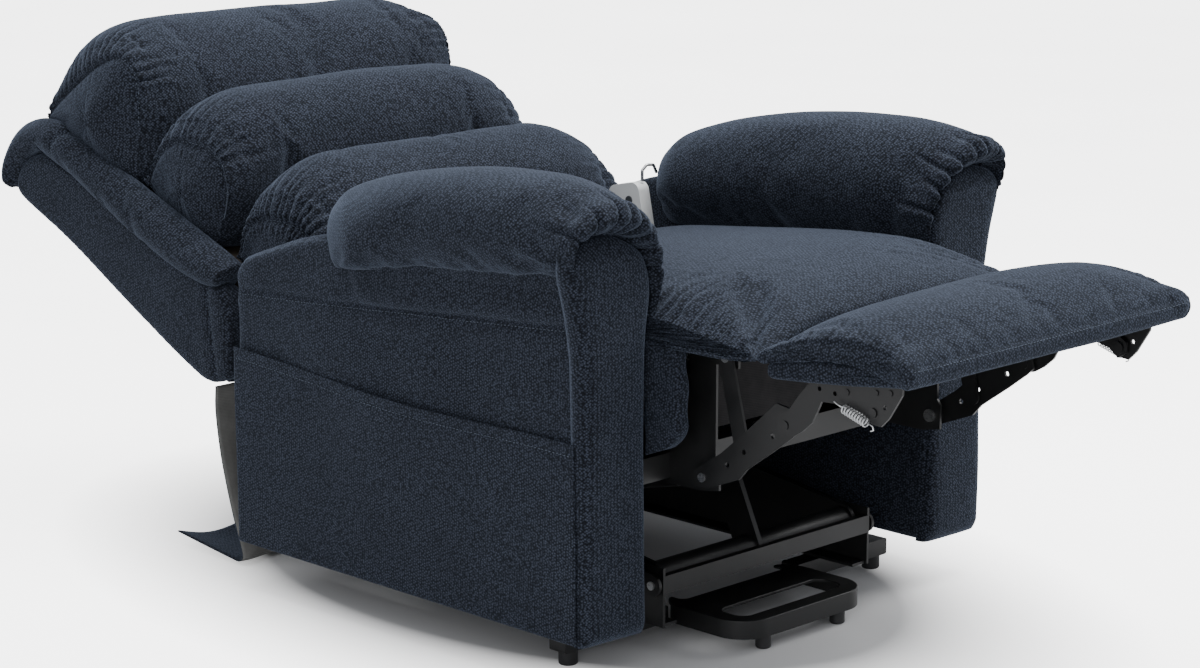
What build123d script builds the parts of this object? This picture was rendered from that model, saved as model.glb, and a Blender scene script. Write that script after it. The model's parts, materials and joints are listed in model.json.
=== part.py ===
from build123d import *
from math import atan2, cos, degrees, hypot, radians, sin, tan
import os

os.makedirs("parts", exist_ok=True)

# Lift recliner chair, in millimetres, stored reclined with its footrest out and the lift down.
# The sitter faces -Y, and +X is the sitter's left.  Chair coordinates, used all through this file,
# have z = 0 on the floor and y = 0 on the front face of the arms.  write() moves each finished
# sub-part to the row's origin, which lies on the floor under the middle of the chair.
ORIGIN_SETBACK = 432

# ---- driving dimensions ----
ARM_OUTER = 400          # centre plane to the arms' outer faces
ARM_INNER = 285          # centre plane to the arms' inner faces
ARM_LENGTH = 700
ARM_BOTTOM = 66
ARM_SKIN = 9             # upholstered wall of an arm cover
SEAT_HALF = 280          # half width of the seat cushion
RAIL_INNER = 206         # base side rail web, inner and outer face
RAIL_OUTER = 210
RAIL_BOTTOM = 44
RAIL_TOP = 126
PLATE_INNER = 222        # chassis side plates
PLATE_OUTER = 226
BACK_OUTER = 362         # half width over the back's side wings
BACK_INNER = 322         # half width between the wings
LUMBAR_HALF = 256        # the lumbar pillow goes down between the arms
TUBE = 34                # square chassis tube
TUBE_WALL = 2.5
TUBE_LOW = 259
TUBE_FRONT = (17, 483, 600)   # y of each cross tube's front face
EAR_INNER = 268          # ears on the rear tube that the back hangs in
EAR_OUTER = 272
PIN_R = 6
ARM_BOLT_R = 4
HOLE_R = 6.05            # running fit on a pin
CLEAR = 0.3              # gap between soft neighbours

# ---- pivots (y, z) ----
LIFT_PIVOT = (80, 104)
CHAIR_PIVOT = (500, 160)
STAY_FOOT = (56.5, 101.9)
STAY_HEAD = (400, 150)
LIFT_MOTOR_PIVOT = (640, 80)
LIFT_LEVER_END = (126.5, 203.7)
BACK_PIVOT = (700, 420)
BACK_MOTOR_PIVOT = (140, 313)
BACK_LEVER_END = (690, 320)
LOWER_LINK_PIVOT = (-52, 275)
ELBOW = (-200, 372)
BRACKET_PIVOT = (-348, 415.4)
CARRIER_PIVOT = (-85, 437)
GEARBOX_AT = 56          # actuator pivot to the middle of its gearbox
GEARBOX_HALF = 38
LOST_MOTION_R = 15.5     # hole that lets an actuator pin wander as its lever swings

# ---- the back: two straight lines seen from the side ----
WING_SLOPE = 0.3767      # rise of the wings' front edge per millimetre of y
WING_START = (780, 456)
REAR_LOW = (815, 270)
REAR_HIGH = (1258, 484)
DECK_DROP = 27           # deck surface below the wings' front edge

# ---- handset ----
HANDSET_TOP = (584, 516)
HANDSET_TILT = -12
HANDSET_SIZE = (64, 132)
HANDSET_BACK = 284.4
HANDSET_SPLIT = 272
HANDSET_FRONT = 262
BUTTON_R = 6.5


def write(name, *solids):
    """Write one sub-part in the row's own frame."""
    shape = solids[0] if len(solids) == 1 else Compound(children=list(solids))
    export_step(Pos(0, -ORIGIN_SETBACK, 0) * shape, f"parts/{name}.step")


def box(x, y, z):
    """Box from its three (low, high) spans."""
    middle = [(a + b) / 2 for a, b in (x, y, z)]
    return Pos(*middle) * Box(x[1] - x[0], y[1] - y[0], z[1] - z[0])


def rod_x(x0, x1, yz, radius):
    """Cylinder lying along X."""
    return Pos((x0 + x1) / 2, yz[0], yz[1]) * Rot(0, 90, 0) * Cylinder(radius, abs(x1 - x0))


def rod(start, end, radius):
    """Cylinder between two points."""
    path = Line(start, end)
    return sweep((path ^ 0) * Circle(radius), path=path)


def slab(outline, x0, x1):
    """Outline of (y, z) points, extruded between two x planes."""
    low, high = sorted((x0, x1))
    return extrude(make_face(Plane.YZ.offset(low) * Polyline(*outline, close=True)), high - low, dir=(1, 0, 0))


def link(start, end, width, x0, x1):
    """Flat bar with round ends between two (y, z) points."""
    low, high = sorted((x0, x1))
    dy, dz = end[0] - start[0], end[1] - start[1]
    flat = Rot(0, 0, degrees(atan2(dz, dy))) * SlotCenterToCenter(hypot(dy, dz), width)
    middle = Pos((start[0] + end[0]) / 2, (start[1] + end[1]) / 2)
    return extrude(Plane.YZ.offset(low) * (middle * flat), high - low, dir=(1, 0, 0))


def bolt(side, head_at, tip_at, yz, radius=PIN_R, head=9, head_depth=3):
    """Pivot bolt: shank towards tip_at, round head beyond head_at."""
    away = 1 if head_at > tip_at else -1
    shank = rod_x(side * head_at, side * tip_at, yz, radius)
    cap = rod_x(side * head_at, side * (head_at + away * head_depth), yz, head)
    return shank + cap


def wing_line(y):
    return WING_START[1] + WING_SLOPE * (y - WING_START[0])


SIDES = (("right", -1), ("left", 1))


# ---------------------------------------------------------------- base
def base_rail(side):
    web = box(sorted((side * RAIL_INNER, side * RAIL_OUTER)), (43, 690), (RAIL_BOTTOM, RAIL_TOP))
    flange = box(sorted((side * (RAIL_INNER - 26), side * RAIL_INNER)), (47, 690), (RAIL_BOTTOM, RAIL_BOTTOM + 4))
    rail = web + flange
    rail -= rod_x(side * 200, side * 215, LIFT_PIVOT, PIN_R)
    rail -= rod_x(side * 200, side * 215, STAY_FOOT, PIN_R)
    return rail


def base_front_crossbar():
    upright = box((-RAIL_INNER, RAIL_INNER), (43, 47), (90, 115))
    top = box((-RAIL_INNER, RAIL_INNER), (47, 53), (111, 115)) - box((-10, 10), (47, 54), (110, 116))
    return upright + top


def base_rear_crossbar():
    outer = box((-RAIL_INNER, RAIL_INNER), (658, 690), (RAIL_BOTTOM + 4, 92))
    return outer - box((-RAIL_INNER, RAIL_INNER), (661, 687), (RAIL_BOTTOM + 7, 89))


def base_foot_loop():
    """Stamped ring in front of the rails: a flat top with two bays, its outer edge turned down."""
    low, high, wall = 20, 46, 4
    rear_cut = Pos(0, 138) * Rectangle(300, 20)
    outline = Pos(0, 53) * RectangleRounded(260, 166, 46) - rear_cut
    inside = Pos(0, 59) * RectangleRounded(260 - 2 * wall, 170, 46 - wall)
    front_bay = Pos(0, 20) * RectangleRounded(208, 48, 18)
    rear_bay = Pos(0, 124) * RectangleRounded(208, 34, 12)
    ring = extrude(Pos(0, 0, low) * outline, high - low)
    ring -= extrude(Pos(0, 0, low - 1) * inside, high - wall - low + 1)
    ring -= extrude(Pos(0, 0, low - 1) * (front_bay + rear_bay), high - low + 2)
    top_rim = ring.edges().filter_by(Plane.XY).group_by(Axis.Z)[-1]
    return fillet(top_rim, 1.5)


def base_outrigger(side):
    tube = box(sorted((side * 132, side * 328)), (108, 138), (20, RAIL_BOTTOM))
    return fillet(tube.edges().filter_by(Axis.Y), 3)


def glide(x, y, top, radius=13):
    puck = Pos(x, y, top / 2) * Cylinder(radius, top)
    return fillet(puck.edges().group_by(Axis.Z)[0], 3)


def base_pivot_bolts():
    bolts = []
    for _, side in SIDES:
        bolts.append(bolt(side, RAIL_OUTER, 189, LIFT_PIVOT))
        bolts.append(bolt(side, RAIL_INNER, 221, STAY_FOOT))
    return bolts


def lift_motor_bracket():
    """Clevis on the rear cross bar, with the pin that the lift motor swings on."""
    y, z = LIFT_MOTOR_PIVOT
    ears = []
    for _, side in SIDES:
        ear = slab([(y - 11, z - 11), (658, z - 28), (658, z + 11), (y - 11, z + 11)], side * 20, side * 24)
        ears.append(ear)
    pin = rod_x(-27, 27, LIFT_MOTOR_PIVOT, PIN_R)
    return ears[0] + ears[1] + pin


# ---------------------------------------------------------------- lift linkage
def lift_arm(side):
    arm = link(LIFT_PIVOT, CHAIR_PIVOT, 46, side * 192, side * 198)
    arm -= rod_x(side * 190, side * 200, LIFT_PIVOT, HOLE_R)
    return arm - rod_x(side * 190, side * 200, CHAIR_PIVOT, PIN_R)


def lift_torque_tube():
    """Tube welded between the lift arms, with the lever that the lift motor pushes."""
    tube = rod_x(-192, 192, LIFT_PIVOT, 19)
    lever = link(LIFT_PIVOT, LIFT_LEVER_END, 46, -4, 4)
    lever -= rod_x(-6, 6, LIFT_LEVER_END, LOST_MOTION_R)
    return tube + lever - rod_x(-193, 193, LIFT_PIVOT, 15.5)


def chair_pivot_bolts():
    """Bolts fixed in the lift arms, which the chassis brackets turn on."""
    return [bolt(side, 192, 209, CHAIR_PIVOT) for _, side in SIDES]


def lift_stay(side):
    stay = link(STAY_FOOT, STAY_HEAD, 30, side * 214, side * 219)
    stay -= rod_x(side * 212, side * 222, STAY_FOOT, HOLE_R)
    return stay - rod_x(side * 212, side * 222, STAY_HEAD, PIN_R + 1.5)


# ---------------------------------------------------------------- actuators
def along(start, end, distance):
    """Point a distance from start towards end, in the chair's centre plane."""
    dy, dz = end[0] - start[0], end[1] - start[1]
    length = hypot(dy, dz)
    return (0, start[0] + dy / length * distance, start[1] + dz / length * distance)


def turned(pivot, target, distance):
    """Local frame on the actuator's line: +Y runs towards the target, +Z is its upper side."""
    tilt = degrees(atan2(target[1] - pivot[1], target[0] - pivot[0]))
    flip = 180 if target[0] < pivot[0] else 0
    return Pos(*along(pivot, target, distance)) * Rot(tilt, 0, 0) * Rot(0, flip, 0)


def motor_housing(pivot, target):
    """Gearbox with its eye."""
    eye = rod_x(-19, 19, pivot, 13)
    neck = turned(pivot, target, 12) * Box(38, 12, 24)
    gearbox = turned(pivot, target, GEARBOX_AT) * Box(56, 2 * GEARBOX_HALF, 52)
    gearbox = fillet(gearbox.edges().filter_by(Axis.X), 10)
    return eye + neck + gearbox - rod_x(-30, 30, pivot, HOLE_R)


def motor_can(pivot, target):
    """The motor itself, in line with the tube and above it."""
    length = 110
    offset = Pos(0, GEARBOX_HALF + length / 2, 40)
    return turned(pivot, target, GEARBOX_AT) * offset * Rot(90, 0, 0) * Cylinder(22, length)


def actuator_tube(pivot, target, end):
    start = GEARBOX_AT + GEARBOX_HALF
    outer = rod(along(pivot, target, start), along(pivot, target, end), 17)
    return outer - rod(along(pivot, target, start + 2), along(pivot, target, end + 1), 11.05)


def actuator_rod(pivot, target, start):
    """Steel rod ending in a fork whose pin crosses the lever's large hole."""
    length = hypot(target[0] - pivot[0], target[1] - pivot[1])
    shaft = rod(along(pivot, target, start), along(pivot, target, length - 44), 11)
    fork = turned(pivot, target, length - 18) * Box(30, 62, 24)
    fork -= turned(pivot, target, length - 7) * Box(18, 70, 30)
    return shaft + fork + rod_x(-16, 16, target, 5.5)


# ---------------------------------------------------------------- chassis
def chassis_plate(side):
    """Pressed side plate that carries every footrest and back pivot."""
    outline = [(-70, 258), (-38, 252), (380, 252), (386, 136), (414, 136), (420, 252), (648, 252), (648, 300),
               (630, 334), (-18, 334), (-18, 450), (-102, 450), (-102, 424), (-64, 424), (-64, 300), (-70, 292)]
    plate = slab(outline, side * PLATE_INNER, side * PLATE_OUTER)
    for pivot in (LOWER_LINK_PIVOT, CARRIER_PIVOT, STAY_HEAD):
        plate -= rod_x(side * 220, side * 228, pivot, PIN_R)
    for y in (TUBE_FRONT[0], TUBE_FRONT[2]):
        plate -= box(sorted((side * 220, side * 228)), (y, y + TUBE), (TUBE_LOW, TUBE_LOW + TUBE))
    return plate


def square_tube(y, half, end_wall):
    """Square cross tube, open inside, with end walls where it carries the arms."""
    low, high = TUBE_LOW, TUBE_LOW + TUBE
    hollow = half - end_wall
    tube = box((-half, half), (y, y + TUBE), (low, high))
    tube -= box((-hollow, hollow), (y + TUBE_WALL, y + TUBE - TUBE_WALL), (low + TUBE_WALL, high - TUBE_WALL))
    return tube


def arm_tube(y):
    """Cross tube that reaches both arms, drilled for their bolts."""
    half = ARM_INNER - 0.5
    tube = square_tube(y, half, 6)
    for _, side in SIDES:
        tube -= rod_x(side * (half - 8), side * (half + 1), (y + TUBE / 2, TUBE_LOW + TUBE / 2), ARM_BOLT_R + 0.3)
    return tube


def chassis_front_tube():
    """Front cross tube, with the clevis that the back motor swings on."""
    y, z = BACK_MOTOR_PIVOT
    rear = TUBE_FRONT[0] + TUBE
    tube = arm_tube(TUBE_FRONT[0])
    for _, side in SIDES:
        tube += slab([(rear, 262), (y + 11, z - 11), (y + 11, z + 11), (rear, 291)], side * 20, side * 24)
    return tube + rod_x(-27, 27, BACK_MOTOR_PIVOT, PIN_R)


def chassis_middle_tube():
    """Middle cross tube, with the two plates that turn on the lift arms."""
    tube = square_tube(TUBE_FRONT[1], PLATE_INNER - 0.2, 0)
    for _, side in SIDES:
        outline = [(478, 138), (522, 138), (517, TUBE_LOW), (483, TUBE_LOW)]
        tube += slab(outline, side * 200, side * 206) - rod_x(side * 198, side * 208, CHAIR_PIVOT, HOLE_R)
    return tube


def chassis_rear_tube():
    """Rear cross tube, with the two ears that the back turns in."""
    rear = TUBE_FRONT[2] + TUBE
    tube = arm_tube(TUBE_FRONT[2])
    outline = [(604, TUBE_LOW + TUBE), (rear, TUBE_LOW + TUBE), (722, 396), (722, 441), (686, 441), (672, 400)]
    for _, side in SIDES:
        tube += slab(outline, side * EAR_INNER, side * EAR_OUTER)
        tube -= rod_x(side * 260, side * 280, BACK_PIVOT, PIN_R)
    return tube


def chassis_bolts():
    """Pivot bolts, and the bolts that hold the arms on the tubes' ends."""
    bolts = []
    for _, side in SIDES:
        bolts.append(bolt(side, PLATE_INNER, 240.5, LOWER_LINK_PIVOT))
        bolts.append(bolt(side, PLATE_INNER, 234, CARRIER_PIVOT))
        bolts.append(bolt(side, PLATE_OUTER, 213, STAY_HEAD))
        bolts.append(bolt(side, EAR_OUTER, 261, BACK_PIVOT))
        for y in (TUBE_FRONT[0], TUBE_FRONT[2]):
            centre = (y + TUBE / 2, TUBE_LOW + TUBE / 2)
            bolts.append(bolt(side, 294.2, 274, centre, radius=ARM_BOLT_R, head=8, head_depth=5))
    return bolts


# ---------------------------------------------------------------- seat
def seat_side_rail(side):
    return box(sorted((side * 190, side * 215)), (-25, 520), (340, 400))


def seat_rear_rail():
    """Rear cross rail, notched above the back motor's tube."""
    return box((-215, 215), (520, 545), (340, 410)) - box((-26, 26), (519, 546), (339, 362))


def seat_spring(x):
    """Sinuous spring: one flat zigzag of wire, front rail to rear rail."""
    pitch, reach, top, wire = 27, 20, 404, 1.9
    points = [(x, -24.8, top)]
    for i in range(20):
        points.append((x + (reach if i % 2 else -reach), -8 + i * pitch, top))
    points.append((x, 519.8, top))
    path = FilletPolyline(*points, radius=8)
    return sweep((path ^ 0) * Circle(wire), path=path)


def seat_springs():
    return [seat_spring(x) for x in (-150, -75, 0, 75, 150)]


def seat_cushion():
    outline = [(-160, 457), (-172, 468), (-162, 483), (-125, 497), (-50, 509), (60, 510), (230, 494), (350, 478),
               (430, 465), (490, 452), (508, 440), (508, 425), (495, 412), (17, 412), (17, 452), (-90, 452)]
    return slab(outline, -SEAT_HALF, SEAT_HALF)


def corner_flap(side):
    outline = [(14, 296), (14, 448), (-50, 448), (-50, 333)]
    return slab(outline, side * 266, side * 270)


# ---------------------------------------------------------------- arms
ARM_PROFILE = [(14, ARM_BOTTOM), (ARM_LENGTH, ARM_BOTTOM), (ARM_LENGTH, 473), (668, 486), (548, 528), (470, 533),
               (14, 533)]


def arm_cover(side, outer_face):
    skin = slab(ARM_PROFILE, side * ARM_INNER, side * outer_face)
    rear, top = ARM_LENGTH - ARM_SKIN, ARM_SKIN + 2
    inside = [(14 + ARM_SKIN, ARM_BOTTOM - 5), (rear, ARM_BOTTOM - 5), (rear, 473 - top), (660, 486 - top),
              (545, 528 - top), (470, 533 - top), (14 + ARM_SKIN, 533 - top)]
    skin -= slab(inside, side * (ARM_INNER + ARM_SKIN), side * (outer_face - ARM_SKIN))
    for y in (TUBE_FRONT[0], TUBE_FRONT[2]):
        skin -= rod_x(side * 280, side * 300, (y + TUBE / 2, TUBE_LOW + TUBE / 2), ARM_BOLT_R + 0.3)
    return skin


def arm_frame(side):
    """Timber ladder inside the cover: two posts, a bottom rail and a top rail."""
    x = sorted((side * 306, side * 380))
    front = box(x, (24, 64), (70, 515))
    rear = box(x, (650, 690), (70, 455))
    low_rail = box(x, (64, 650), (70, 120))
    top_rail = box(x, (64, 650), (395, 445))
    return front + rear + low_rail + top_rail


def arm_front_panel(side):
    """Scroll-shaped front board: straight sides, swelling outwards into the arch."""
    straight = Polyline((side * 400, 464), (side * 400, ARM_BOTTOM), (side * 285, ARM_BOTTOM), (side * 286, 505))
    arch = Spline((side * 286, 505), (side * 293, 545), (side * 320, 582), (side * 370, 602), (side * 412, 597),
                  (side * 430, 572), (side * 422, 530), (side * 400, 464))
    face = make_face(Plane.XZ * (Curve() + [straight, arch]))
    board = extrude(face, 14, dir=(0, 1, 0))
    return board


def pad_section(side, y, crest, drop):
    """Cross-section of an arm pad: round top, its outer side fuller than its inner side."""
    points = [(262, 505 - drop), (250, 560 - drop), (268, 612 - drop), (305, crest - 9), (348, crest),
              (392, crest - 13), (422, 610 - drop), (432, 570 - drop), (424, 530 - drop), (406, 500 - drop),
              (340, 495 - drop)]
    return make_face(Plane.XZ.offset(-y) * Spline(*[(side * x, z) for x, z in points], periodic=True))


def arm_pad(side):
    sections = [(-46, 642, 0), (100, 654, 0), (300, 639, 10), (430, 616, 26), (520, 588, 46)]
    pad = loft([pad_section(side, *s) for s in sections])
    pad -= slab([(14 - CLEAR, 0), (800, 0), (800, 475), (668, 486 + CLEAR), (548, 528 + CLEAR), (470, 533 + CLEAR),
                 (14 - CLEAR, 533 + CLEAR)], side * (ARM_INNER - CLEAR), side * (ARM_OUTER + CLEAR))
    pad -= slab([(-60, 300), (14.1, 300), (14.1, 604), (-60, 604)], side * 200, side * 460)
    pad -= slab([(-60, 300), (600, 300), (600, 512), (-60, 512)], side * 200, side * (SEAT_HALF + 1))
    return max(pad.solids(), key=lambda s: s.volume)


def side_pocket():
    """Flat fabric pocket on the outside of the right arm, open along its top."""
    outer = slab([(4, 72), (696, 72), (696, 354), (4, 336)], -402.4, -405)
    wall_x = (-402.4, -396.2)
    floor = box(wall_x, (14.5, 696), (72, 76))
    rear = box(wall_x, (690, 696), (76, 352))
    front = box((-402.4, -400.2), (4, 10), (72, 336))
    return outer + floor + rear + front


# ---------------------------------------------------------------- back
def back_wing(side):
    """Wedge-shaped side of the back: panel below, padded strip above."""
    outline = [(757, 288), REAR_LOW, REAR_HIGH, (1279, 496), (1288, 512), (1284, 532), (1241, 590), (1210, 606),
               (1175, 606), (1150, wing_line(1150)), WING_START, (760, 432)]
    return slab(outline, side * BACK_INNER, side * BACK_OUTER)


def rear_direction():
    dy, dz = REAR_HIGH[0] - REAR_LOW[0], REAR_HIGH[1] - REAR_LOW[1]
    length = hypot(dy, dz)
    return dy / length, dz / length


def rear_point(y):
    """Point on the rear panel's outer face."""
    dy, dz = rear_direction()
    return (y, REAR_LOW[1] + (y - REAR_LOW[0]) * dz / dy)


def rear_offset(point, up):
    """Point moved at right angles to the rear panel, into the back."""
    dy, dz = rear_direction()
    return (point[0] - dz * up, point[1] + dy * up)


def back_rear_panel():
    half = BACK_INNER - CLEAR
    return slab([REAR_LOW, REAR_HIGH, rear_offset(REAR_HIGH, 10), rear_offset(REAR_LOW, 10)], -half, half)


def back_deck():
    """Sprung board that the pillows rest on; its lower part goes down between the arms."""
    def strip(y0, y1, half):
        top = DECK_DROP
        return slab([(y0, wing_line(y0) - top - 12), (y1, wing_line(y1) - top - 12), (y1, wing_line(y1) - top),
                     (y0, wing_line(y0) - top)], -half, half)
    deck = strip(645, 772, LUMBAR_HALF) + strip(772, 1190, BACK_INNER - CLEAR)
    return deck - box((-24, 24), (640, 684), (350, 420))


def back_frame():
    """Two stiles, a bottom rail and a top rail between the rear panel and the deck."""
    def level(y):
        return wing_line(y) - DECK_DROP - 12.3
    low, high = rear_offset(REAR_LOW, 10.3), rear_offset(rear_point(1236), 10.3)
    stile = [low, high, (1180, level(1180)), (780, level(780)), (774, 300)]
    frame = [slab(stile, side * 286, side * 320) for _, side in SIDES]
    bottom = slab([low, rear_offset(rear_point(845), 10.3), (812, level(812)), (780, level(780)), (774, 300)],
                  -286, 286)
    top = slab([rear_offset(rear_point(1196), 10.3), high, (1180, level(1180)), (1146, level(1146))], -286, 286)
    return frame[0] + frame[1] + bottom + top


def back_top_roll():
    outline = [(1192, 588), (1192, 566), (1238, 488), (1253, 495), (1262, 486), (1279, 496), (1288, 512),
               (1284, 532), (1241, 590), (1212, 603)]
    return slab(outline, -(BACK_INNER - CLEAR), BACK_INNER - CLEAR)


def back_bracket(side):
    """Steel hinge bracket from the back pivot to the frame's bottom rail."""
    outline = [(682, 402), (718, 402), (773.5, 306), (773.5, 404), (730, 439), (686, 439)]
    bracket = slab(outline, side * 262, side * 266)
    return bracket - rod_x(side * 260, side * 268, BACK_PIVOT, HOLE_R)


def back_drive_lever():
    y, z = BACK_LEVER_END
    lever = slab([(773.5, 306), (773.5, 380), (y - 18, z + 18), (y - 22, z - 8), (y - 4, z - 24), (y + 20, z - 16)],
                 -4, 4)
    return lever - rod_x(-6, 6, BACK_LEVER_END, LOST_MOTION_R)


def on_deck(points, shift=1.0):
    """Pillow outline: (y, height above the deck's line) to (y, z)."""
    return [(y, wing_line(y) - DECK_DROP + shift + h) for y, h in points]


def lumbar_pillow():
    outline = on_deck([(648, 0), (618, 50), (612, 110), (634, 170), (680, 196), (726, 190), (766, 152), (790, 100),
                       (806, 50), (814, 10), (790, 0)])
    return slab(outline, -LUMBAR_HALF, LUMBAR_HALF)


def middle_pillow():
    outline = on_deck([(838, 0), (818, 60), (806, 120), (814, 174), (850, 202), (900, 196), (950, 158), (982, 105),
                       (1000, 50), (1002, 10), (980, 0)])
    return slab(outline, -312, 312)


def head_pillow():
    outline = on_deck([(1014, 0), (998, 80), (992, 140), (1006, 192), (1046, 212), (1100, 204), (1160, 168),
                       (1205, 112), (1232, 54), (1226, 26), (1170, 0)])
    return slab(outline, -320, 320)


def ribbon(line, half_thick):
    """Closed outline of a thin strip along a line of (y, z) points."""
    left, right = [], []
    for i, (y, z) in enumerate(line):
        before, after = line[max(i - 1, 0)], line[min(i + 1, len(line) - 1)]
        dy, dz = after[0] - before[0], after[1] - before[1]
        length = hypot(dy, dz)
        left.append((y - dz / length * half_thick, z + dy / length * half_thick))
        right.append((y + dz / length * half_thick, z - dy / length * half_thick))
    return left + right[::-1]


def rear_flap():
    """Fabric flap hanging from the back's lower edge to the floor, where it turns rearwards."""
    drop = [(822, 262), (826, 220), (816, 150), (795, 70), (774, 22), (782, 4), (800, 2.6), (925, 2.6)]
    return slab(ribbon(drop, 1.5), -336, 336)


# ---------------------------------------------------------------- footrest
def board_low(y):
    return 437 + 0.114 * (-196 - y)


def footrest_board():
    outline = [(-196, board_low(-196)), (-412, board_low(-412)), (-412, board_low(-412) + 18),
               (-196, board_low(-196) + 18)]
    return slab(outline, -262, 262)


def footrest_pad():
    low = board_low(-196) + 18 + CLEAR
    front_low = board_low(-412) + 18 + CLEAR
    outline = [(-194, low), (-414, front_low), (-414, 462), (-425, 460), (-427, 488), (-405, 506), (-350, 526),
               (-300, 532), (-250, 520), (-210, 496), (-186, 476), (-180, 464), (-186, 455)]
    return slab(outline, -275, 275)


def footrest_bracket(side):
    """Pressed bracket under the board: a deep front corner, three holes and three rivets."""
    outline = [(-243, 441.5), (-246, 414), (-300, 417), (-332, 413), (-346, 401), (-360, 400), (-372, 412),
               (-392, 444), (-393, 458.6)]
    plate = slab(outline, side * 250, side * 254)
    flange = slab([(-243, 441.5), (-393, 458.6), (-393, 455.6), (-243, 438.5)], side * 254, side * 262)
    for hole in ((-262, 431), (-287, 429), (-366, 425)):
        plate -= rod_x(side * 249, side * 255, hole, 3)
    for rivet in ((-306, 434), (-352, 441), (-374, 444)):
        plate += rod_x(side * 253, side * 255.5, rivet, 4)
    return plate + flange - rod_x(side * 248, side * 256, BRACKET_PIVOT, HOLE_R)


def footrest_spring(side):
    """Outer shape of a close-wound tension spring, with its two end hooks."""
    x = side * 259.6
    coil = rod((x, -328, 403), (x, -300, 413), 5)
    hook = rod((x, -300, 413), (x, -284, 418.5), 1.2)
    tail = rod((x, -328, 403), (x, -340, 399), 1.2)
    return coil + hook + tail


def lower_link(side):
    """Wide pressed link, cranked towards the elbow."""
    outline = [(-62, 262), (-40, 262), (-36, 280), (-86, 314), (-128, 350), (-178, 395), (-212, 390), (-217, 366),
               (-206, 356), (-176, 333), (-130, 300), (-116, 284)]
    plate = slab(outline, side * 235, side * 239)
    plate -= rod_x(side * 234, side * 242, LOWER_LINK_PIVOT, HOLE_R)
    for hole in ((-173, 352), (-124.5, 322), (-96, 300)):
        plate -= rod_x(side * 234, side * 242, hole, 3.5)
    return plate - rod_x(side * 234, side * 242, ELBOW, PIN_R)


def upper_link(side):
    """Cranked link: up from the elbow, then forward behind the bracket."""
    outline = [(-186, 366), (-198, 357), (-213, 360), (-228, 369), (-244, 383), (-255, 404), (-262, 420),
               (-300, 421), (-334, 413), (-348, 401.5), (-361, 410), (-361, 424), (-350, 431), (-300, 436),
               (-236, 430), (-222, 414), (-206, 393), (-188, 384)]
    plate = slab(outline, side * 243, side * 247)
    plate -= rod_x(side * 241, side * 249, BRACKET_PIVOT, PIN_R)
    return plate - rod_x(side * 241, side * 249, ELBOW, HOLE_R)


def carrier_link(side):
    link_bar = link(CARRIER_PIVOT, (-118, 312), 24, side * 229, side * 233)
    return link_bar - rod_x(side * 227, side * 235, CARRIER_PIVOT, HOLE_R)


def elbow_bolts():
    return [bolt(side, 235, 248.5, ELBOW) for _, side in SIDES]


def bracket_bolts():
    return [bolt(side, 243, 256, BRACKET_PIVOT) for _, side in SIDES]


# ---------------------------------------------------------------- electrics
def control_box():
    body = box((60, 168), (440, 600), (293, 333))
    body = fillet(body.edges().filter_by(Axis.Z), 8)
    inlet = box((90, 116), (590, 601), (303, 323))
    return body - inlet


def motor_lead():
    """Lead from the control box to the front tube, hanging in a loop between the middle and front tubes."""
    route = [(114, 440, 310), (114, 418, 309), (112, 396, 288), (108, 376, 254), (100, 348, 234), (91, 310, 238),
             (83, 268, 262), (76, 222, 280), (70, 174, 287), (66, 128, 283), (64, 90, 278), (63, 51, 276)]
    path = FilletPolyline(*route, radius=corner_radii(route))
    return sweep((path ^ 0) * Circle(3.2), path=path)


def corner_radii(route):
    radii = []
    for a, b, c in zip(route, route[1:], route[2:]):
        before, after = Vector(*b) - Vector(*a), Vector(*c) - Vector(*b)
        half_turn = radians(before.get_angle(after)) / 2
        radii.append(0.45 * min(before.length, after.length) / tan(half_turn))
    return radii


def on_handset(shape):
    """Place a shape drawn about the handset's top centre, hanging down -Z, at its tilt on the left arm."""
    return Pos(0, HANDSET_TOP[0], HANDSET_TOP[1]) * Rot(HANDSET_TILT, 0, 0) * shape


def handset_outline(x0, x1, shrink=0):
    width, length = HANDSET_SIZE
    face = RectangleRounded(width - 2 * shrink, length - 2 * shrink, 14 - shrink)
    return extrude(Plane.YZ.offset(x0) * (Pos(0, -length / 2) * face), x1 - x0, dir=(1, 0, 0))


BUTTONS = {"up_left": (13, -26), "up_right": (-9, -26), "down_left": (13, -48), "down_right": (-9, -48)}


def handset_front():
    """Front half-shell, towards the sitter, with four button holes."""
    shell = handset_outline(HANDSET_FRONT, HANDSET_SPLIT)
    shell -= handset_outline(HANDSET_FRONT + 2, HANDSET_SPLIT + 1, 2)
    for y, z in BUTTONS.values():
        shell -= rod_x(HANDSET_FRONT - 1, HANDSET_FRONT + 3, (y, z), BUTTON_R + 0.3)
    return on_handset(shell)


def handset_back():
    shell = handset_outline(HANDSET_SPLIT, HANDSET_BACK)
    return on_handset(shell - handset_outline(HANDSET_SPLIT - 1, HANDSET_BACK - 2, 2))


def handset_button(y, z):
    cap = rod_x(HANDSET_FRONT - 1.6, HANDSET_FRONT + 5, (y, z), BUTTON_R)
    return on_handset(cap)


def handset_hook():
    """Bent wire hanger from the handset's top, over the sloping arm top."""
    points = [(276, 556, 521.6), (276, 556, 538), (284, 554, 546), (296, 552, 545), (303, 552, 532)]
    path = FilletPolyline(*points, radius=4)
    return sweep((path ^ 0) * Circle(2.4), path=path)


def circuit_board():
    board = extrude(Plane.YZ.offset(HANDSET_SPLIT) * (Pos(0, -66) * Rectangle(52, 110)), 1.6, dir=(1, 0, 0))
    return on_handset(board)


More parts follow.
